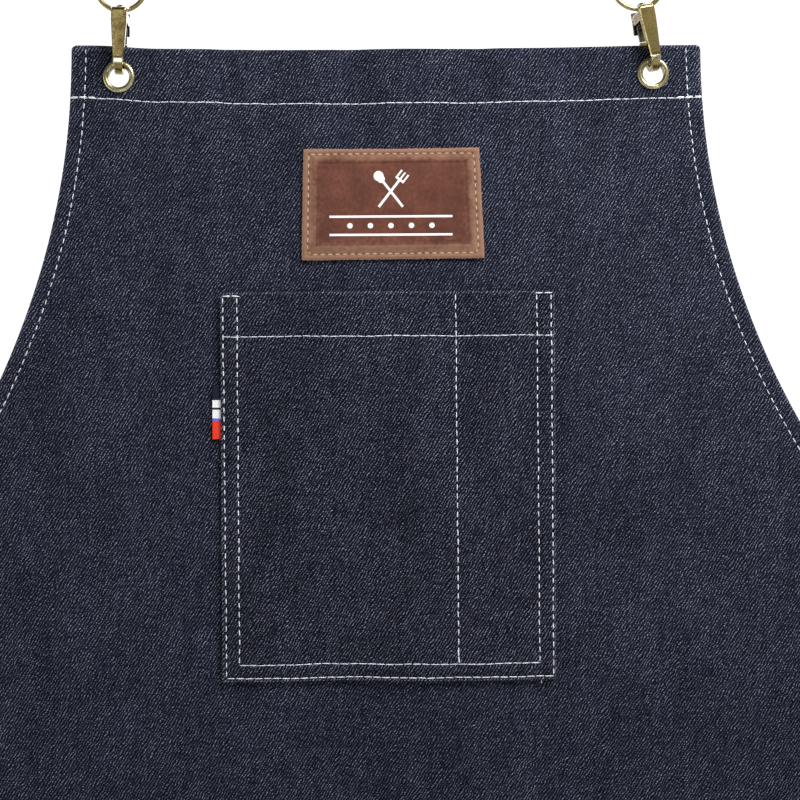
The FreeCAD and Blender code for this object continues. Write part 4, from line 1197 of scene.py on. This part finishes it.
def patch_place(a, d):
    """The patch's point (a, d) with its edge cut ragged, its corners blunt, its head a
    little hollow and its needle holes pushed in."""
    x, z = patch_point(a, d)
    near = 1 - ease(np.maximum(in_from_patch_edge(x, z), 0) / (2.0 * MM))
    off_a, off_d = np.abs(a - 0.5) * 2, np.abs(d - 0.5) * 2
    blunt = 0.15 * MM * off_a**40 * off_d**30
    push_x = np.sign(a - 0.5) * near * off_a**8
    push_z = np.sign(0.5 - d) * near * off_d**8
    sink = 0.5 * MM * np.sin(np.pi * a) * (0.5 - d) * near * (d < 0.5)
    y = patch_front(x, z) + 0.55 * MM * needle_holes(x, z)
    return x + push_x * (ragged(z) - blunt), y, z + push_z * (ragged(x + 0.3) - blunt) - sink


def pale_border(x, z):
    """How pale the hide is: most along its edges, more at its foot than its head."""
    inside = in_from_patch_edge(x, z)
    low = ease((patch_hi.z - z) / (patch_hi.z - patch_lo.z))
    frame_line = ridge(inside - FRAME_INSET, 0.32 * MM)
    frame_line = frame_line + 0.6 * ridge(inside - FRAME_INSET - 1.3 * MM, 0.3 * MM)
    raw = 0.5 * (1 - ease(inside / (0.9 * MM)))
    reach = (9.5 + 4.0 * low) * MM
    return np.clip(0.90 * (1 - ease(inside / reach)) + raw - 0.26 * frame_line, -0.4, 1.2)


patch = lay_cloth("leather_patch_hide", np.linspace(0, 1, 176), np.linspace(0, 1, 108),
                  patch_place, 1.35 * MM, patch_hide,
                  marks=[("border", pale_border), ("hole", needle_holes)], edge=0.2 * MM)
rows = [(path, outward, PATCH_PITCH, 0.64, 0.46 * MM) for path, outward in (
    ((ring_x, patch_front(ring_x, ring_z), ring_z), -1),
    (on_panel(ring_x, ring_z, DENIM), 1))]
sewn["patch_thread"] = sew("patch_stitches", rows, waxed, 17)
print("patch faces:", len(patch.data.polygons), "needle holes:", len(NEEDLE))

# %% [markdown]
# ## The printed mark
# A plain mark is printed on the patch: a crossed spoon and fork over two rules and a row
# of dots. Its outline is the CAD model's, so a copy of that mesh is taken, its loose
# triangles are merged, and each point is moved to lie just proud of the leather. The
# ink is white, and has worn thin in patches.

# %% The mark
def copy_node(node, name):
    """A copy of a CAD node's mesh as a new piece, with its doubled points merged."""
    piece = frame["nodes"][node].copy()
    piece.data = piece.data.copy()
    for key in list(piece.keys()):
        del piece[key]
    piece.parent = None
    piece.name = piece.data.name = name
    bpy.context.scene.collection.objects.link(piece)
    pick(piece)
    if piece.data.has_custom_normals:
        bpy.ops.mesh.customdata_custom_splitnormals_clear()
    edit_mesh(bpy.ops.mesh.remove_doubles, "SELECT", threshold=0.005 * MM)
    piece.data.materials.clear()
    return piece


ink, tree, shader, place = cloth_material("white_ink")
flake = use_group(tree, cloud, Vector=place, Size=2.2 * MM, Fine_Share=0.5)["Cloud"]
thin_ink = blend_colours(ramp(flake, 0.30, 0.42), (0.50, 0.42, 0.37, 1), (0.92, 0.92, 0.91, 1))
skin = use_group(tree, grain, Vector=place)["Height"]
feed_all(shader, Base_Color=thin_ink, Roughness=ramp(flake, 0.3, 0.6, 0.7, 0.5),
         Normal=bump(skin, 0.04 * MM, 0.5))

mark = copy_node("patch_mark", "printed_mark")
mark_lo, mark_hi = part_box("patch_mark")
for vertex in mark.data.vertices:
    above = (mark_hi.y - vertex.co.y) / (mark_hi.y - mark_lo.y)
    surface = float(FRONT + PATCH_FACE + drape(vertex.co.x, vertex.co.z))
    vertex.co.y = surface - (0.12 * above - 0.1) * MM
mark.data.materials.append(ink)
print("mark points:", len(mark.data.vertices))

# %% [markdown]
# ## The woven tab
# A short ribbon is folded double and caught in the pocket's side seam, with dark, white
# and red bands woven across it. It is laid as one sheet that runs out along the back,
# turns round the fold and comes back along the front. The bands go by height, and fine
# ribs run across it.

# %% The side tab
tab_lo, tab_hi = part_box("side_tab")
TAB_IN = 1.6 * MM
TAB_TURN = 0.28 * MM
RED, BLUE = (0.86, 0.050, 0.020, 1), (0.13, 0.18, 0.68, 1)
WHITE, BLACK, NAVY = (0.95, 0.95, 0.96, 1), (0.03, 0.03, 0.04, 1), (0.010, 0.012, 0.026, 1)
BANDS = ((0.0, 0.345, RED), (0.350, 0.395, BLUE), (0.40, 0.555, WHITE),
         (0.56, 0.595, BLACK), (0.60, 0.735, WHITE), (0.74, 1.0, NAVY))
ribbon, tree, shader, place = cloth_material("striped_ribbon")
height = split(place)["Z"]
stripes = add(tree, "ShaderNodeValToRGB")
stops = [(at, colour) for low, high, colour in BANDS for at in (low, high)]
while len(stripes.color_ramp.elements) < len(stops):
    stripes.color_ramp.elements.new(1.0)
for stop, (at, colour) in zip(stripes.color_ramp.elements, stops):
    stop.position, stop.color = at, colour
feed(stripes.inputs[0], over(minus(height, tab_lo.z), tab_hi.z - tab_lo.z))
rib = calc("SINE", times(height, 2 * math.pi / (0.45 * MM)))
# painted shade: each rib's valley darkens the woven stripes by up to a tenth
stripes_and_rib_shade = blend_colours(1.0, stripes.outputs["Color"], grey(ramp(rib, -1, 1, 0.90, 1.0)), "MULTIPLY")
feed_all(shader, Base_Color=stripes_and_rib_shade, Roughness=ramp(rib, -1, 1, 0.75, 0.5), Sheen_Weight=0.03,
         Specular_IOR_Level=0.15, Normal=bump(rib, 0.06 * MM, 0.6))


def tab_place(s, z):
    """s runs 0 to 1 out along the back, 1 to 2 round the fold, 2 to 3 back along the front."""
    out = np.clip(s, 0, 1)
    turn = np.clip(s - 1, 0, 1) * math.pi
    home = np.clip(s - 2, 0, 1)
    reach = tab_hi.x + TAB_IN - (tab_lo.x + TAB_TURN)
    x = tab_hi.x + TAB_IN - reach * out + reach * home - TAB_TURN * np.sin(turn)
    y = FRONT - 0.42 * MM - TAB_TURN * (1 - np.cos(turn)) + drape(x, z)
    skew = 0.25 * MM * (tab_hi.x - x) / (tab_hi.x - tab_lo.x)
    return x - 0.3 * MM * out * (1 - home), y - 0.12 * MM * home, z + 0.4 * MM - skew


round_tab = np.concatenate([np.linspace(0, 1, 6), np.linspace(1, 2, 8)[1:],
                            np.linspace(2, 3, 8)[1:]])
tab = lay_cloth("striped_tab", round_tab, np.linspace(tab_hi.z, tab_lo.z, 26), tab_place,
                0.22 * MM, ribbon, edge=0)
print("tab faces:", len(tab.data.polygons))

# %% [markdown]
# ## Brass, steel and edge wear
# Antique brass is brass that was darkened on purpose and then rubbed. Flat faces stay
# olive brown, and edges come up pale gold. The Bevel node tells how the surface would
# lean if its corners were rounded, and where that differs from the true surface there
# is an edge, so one group gives both a softer corner and a mask for wear. The hooks
# get one more pale band across the bend, where the eyelet's rim swings: it is partly
# rubbed brass and partly a painted highlight that stands for the bend's reflection.
# The hooks, eyelets, rings and rivets keep their CAD meshes and take this finish.

# %% Metal finishes
edge_wear, given, gives = start_group(
    "edge wear", [("Radius", "Float", 0.3 * MM)], [("Edge", "Float"), ("Normal", "Vector")])
rounded = add(edge_wear, "ShaderNodeBevel", samples=6)
feed_all(rounded, Radius=given["Radius"])
sides = (rounded.outputs[0], add(edge_wear, "ShaderNodeNewGeometry").outputs["Normal"])
agree = new_after(sides, "ShaderNodeVectorMath", operation="DOT_PRODUCT").outputs["Value"]
feed(gives["Edge"], ramp(agree, 0.995, 0.86))
feed(gives["Normal"], rounded.outputs[0])


def metal(name, dark, body, bright, rough, radius, highlight_band_at=None):
    """Aged metal: dark in its patina, bright on its edges, and pale in one band that is partly rubbed
    brass and partly a painted highlight.
    """
    made, tree, shader, place = cloth_material(name)
    wear = use_group(tree, edge_wear, Radius=radius)
    patina = use_group(tree, cloud, Vector=place, Size=4.5 * MM, Fine_Share=0.45)["Cloud"]
    scuff = use_group(tree, cloud, Vector=place, Size=0.9 * MM, Fine_Share=0.6)["Cloud"]
    worn = wear["Edge"]
    # painted highlight: a pale, smoother band across the bend just under the eyelet's top, standing for
    # the bend's reflection as well as rubbed brass
    if highlight_band_at is not None:
        height = split(place)["Z"]
        above = ramp(height, highlight_band_at + 0.5 * MM, highlight_band_at - 0.4 * MM)
        under = ramp(height, highlight_band_at - 2.7 * MM, highlight_band_at - 1.6 * MM, 0.0, 0.7)
        worn = calc("MAXIMUM", worn, times(above, under))
    worn = times(worn, ramp(scuff, 0.25, 0.55, 0.55, 1.0))
    colour = blend_colours(ramp(patina, 0.30, 0.66), dark, body)
    level = plus(ramp(patina, 0.3, 0.7, rough + 0.10, rough - 0.05), times(scuff, 0.10))
    feed_all(shader, Metallic=1.0, Base_Color=blend_colours(worn, colour, bright),
             Roughness=minus(level, times(worn, 0.12)),
             Normal=bump(scuff, 0.02 * MM, 0.5, wear["Normal"]))
    return made


EYELET_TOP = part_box("eyelet_left")[1].z
# the hooks' pale band at the eyelet's top is a painted highlight as well as rubbed brass
hook_brass = metal("hook_brass", (0.19, 0.125, 0.042, 1), (0.38, 0.31, 0.12, 1),
                   (0.98, 0.93, 0.66, 1), 0.16, 0.45 * MM, highlight_band_at=EYELET_TOP)
ring_brass = metal("ring_brass", (0.22, 0.175, 0.065, 1), (0.42, 0.36, 0.15, 1),
                   (0.93, 0.86, 0.56, 1), 0.24, 0.12 * MM)
eyelet_brass = metal("eyelet_brass", (0.34, 0.30, 0.15, 1), (0.62, 0.57, 0.36, 1),
                     (0.95, 0.90, 0.68, 1), 0.24, 0.12 * MM)
gate_metal = metal("gate_metal", (0.05, 0.042, 0.030, 1), (0.12, 0.10, 0.075, 1),
                   (0.42, 0.38, 0.30, 1), 0.30, 0.2 * MM)
spring_steel = metal("spring_steel", (0.30, 0.29, 0.27, 1), (0.55, 0.54, 0.52, 1),
                     (0.8, 0.8, 0.78, 1), 0.25, 0.05 * MM)

FINISH = {"snap_hook": hook_brass, "gate": gate_metal, "gate_pin": ring_brass,
          "swivel_rivet": ring_brass, "swivel_ring": ring_brass,
          "eyelet": eyelet_brass, "waist_eyelet": eyelet_brass,
          "washer": eyelet_brass, "waist_washer": eyelet_brass}
for stem, finish in FINISH.items():
    for side in ("left", "right"):
        node = frame["nodes"]["%s_%s" % (stem, side)]
        for slot in range(len(node.data.materials)):
            node.data.materials[slot] = finish
frame["nodes"]["strap_rivets"].data.materials[0] = ring_brass
print("metal finishes on", 2 * len(FINISH) + 1, "CAD nodes")

# %% [markdown]
# ## The gate springs
# Behind each hook a bent wire lever closes the mouth. A coil round its pin pushes it
# shut. The CAD model fills the space that the coil turns in, and here it becomes real
# wire: a small circle swept along a screw, which is what the Screw modifier is for.
# It is wound upright, round the Z axis, then laid along the hinge's axis.

# %% Coils
COIL_WIRE = 0.19 * MM
COIL_TURNS = 4
joints = {joint["name"]: joint for joint in frame["joints"]}
coils = {}
for side in ("left", "right"):
    low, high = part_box("gate_spring_" + side)
    hinge = joints["gate_%s_open" % side]
    axis = Vector(hinge["axis"]).normalized()
    middle = (Vector(low) + Vector(high)) / 2
    outer = (high.z - low.z) / 2 - 0.05 * MM
    width = (high.x - low.x) - 2.4 * COIL_WIRE - 0.1 * MM
    bpy.ops.mesh.primitive_circle_add(vertices=8, radius=COIL_WIRE, rotation=(math.pi / 2, 0, 0))
    coil = bpy.context.object
    coil.name = coil.data.name = "gate_coil_" + side
    edit_mesh(bpy.ops.mesh.edge_face_add, "SELECT")
    bpy.ops.object.transform_apply(location=False, rotation=True, scale=False)
    coil.data.transform(Matrix.Translation((outer - COIL_WIRE, 0, 0)))
    use_modifier(coil, "SCREW", axis="Z", angle=2 * math.pi * COIL_TURNS, steps=20 * COIL_TURNS,
                 render_steps=20 * COIL_TURNS, screw_offset=width, use_merge_vertices=False)
    coil.data.transform(Matrix.Translation((0, 0, -width / 2)))
    turn = Vector((0, 0, 1)).rotation_difference(axis).to_matrix().to_4x4()
    coil.data.transform(Matrix.Translation(middle) @ turn)
    edit_mesh(bpy.ops.mesh.normals_make_consistent, "SELECT", inside=False)
    bpy.ops.object.shade_smooth_by_angle(angle=math.radians(40))
    coil.data.materials.append(spring_steel)
    coils["gate_spring_" + side] = coil
print("coil outer radius in mm:", round(outer / MM, 2))

# %% [markdown]
# ## The neck strap
# The strap is one length of thick leather, folded and riveted round each ring and
# twisted a quarter turn on its way to the peg. Its path is the CAD model's, so a copy
# of that mesh is taken and given what the solid lacks: burnished round edges, from a
# Bevel on its long corners, and a hide with grain and uneven wax.

# %% The strap
strap = copy_node("neck_strap", "leather_neck_strap")
use_modifier(strap, "BEVEL", width=0.55 * MM, segments=3, limit_method="ANGLE",
             angle_limit=math.radians(50))
bpy.ops.object.shade_smooth_by_angle(angle=math.radians(40))
strap.data.materials.append(strap_hide)
print("strap faces:", len(strap.data.polygons))

# %% [markdown]
# ## What rides on what
# The bib hangs from the left hook's bend in the CAD model, so all the cloth rides on
# the body called apron. Each new piece stands for the CAD solid in its place, which is
# then hidden. The strips and tab sewn to a sheet ride on the same body.

# %% Riding and replacing
def stand_for(piece, body, slot, *nodes):
    """Say what a piece rides on and which CAD nodes it replaces; slot is not used."""
    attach(piece, body)
    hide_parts(*nodes)


stand_for(panel, "apron", "denim", "apron_panel")
for node, piece in hems.items():
    stand_for(piece, "apron", "denim", node)
stand_for(pocket, "apron", "denim", "pocket")
stand_for(mouth_hem, "apron", "denim", "pocket_mouth_hem")
for node, piece in sewn.items():
    stand_for(piece, "apron", "tan_thread" if node == "patch_thread" else "thread", node)
stand_for(patch, "apron", "patch_leather", "leather_patch")
stand_for(mark, "apron", "patch_print", "patch_mark")
stand_for(tab, "apron", "ribbon", "side_tab")
for node, piece in coils.items():
    stand_for(piece, "snap_hook_" + node.split("_")[-1], "spring_steel", node)
stand_for(strap, "neck_strap", "strap_leather", "neck_strap")
bpy.data.objects.remove(stitch)
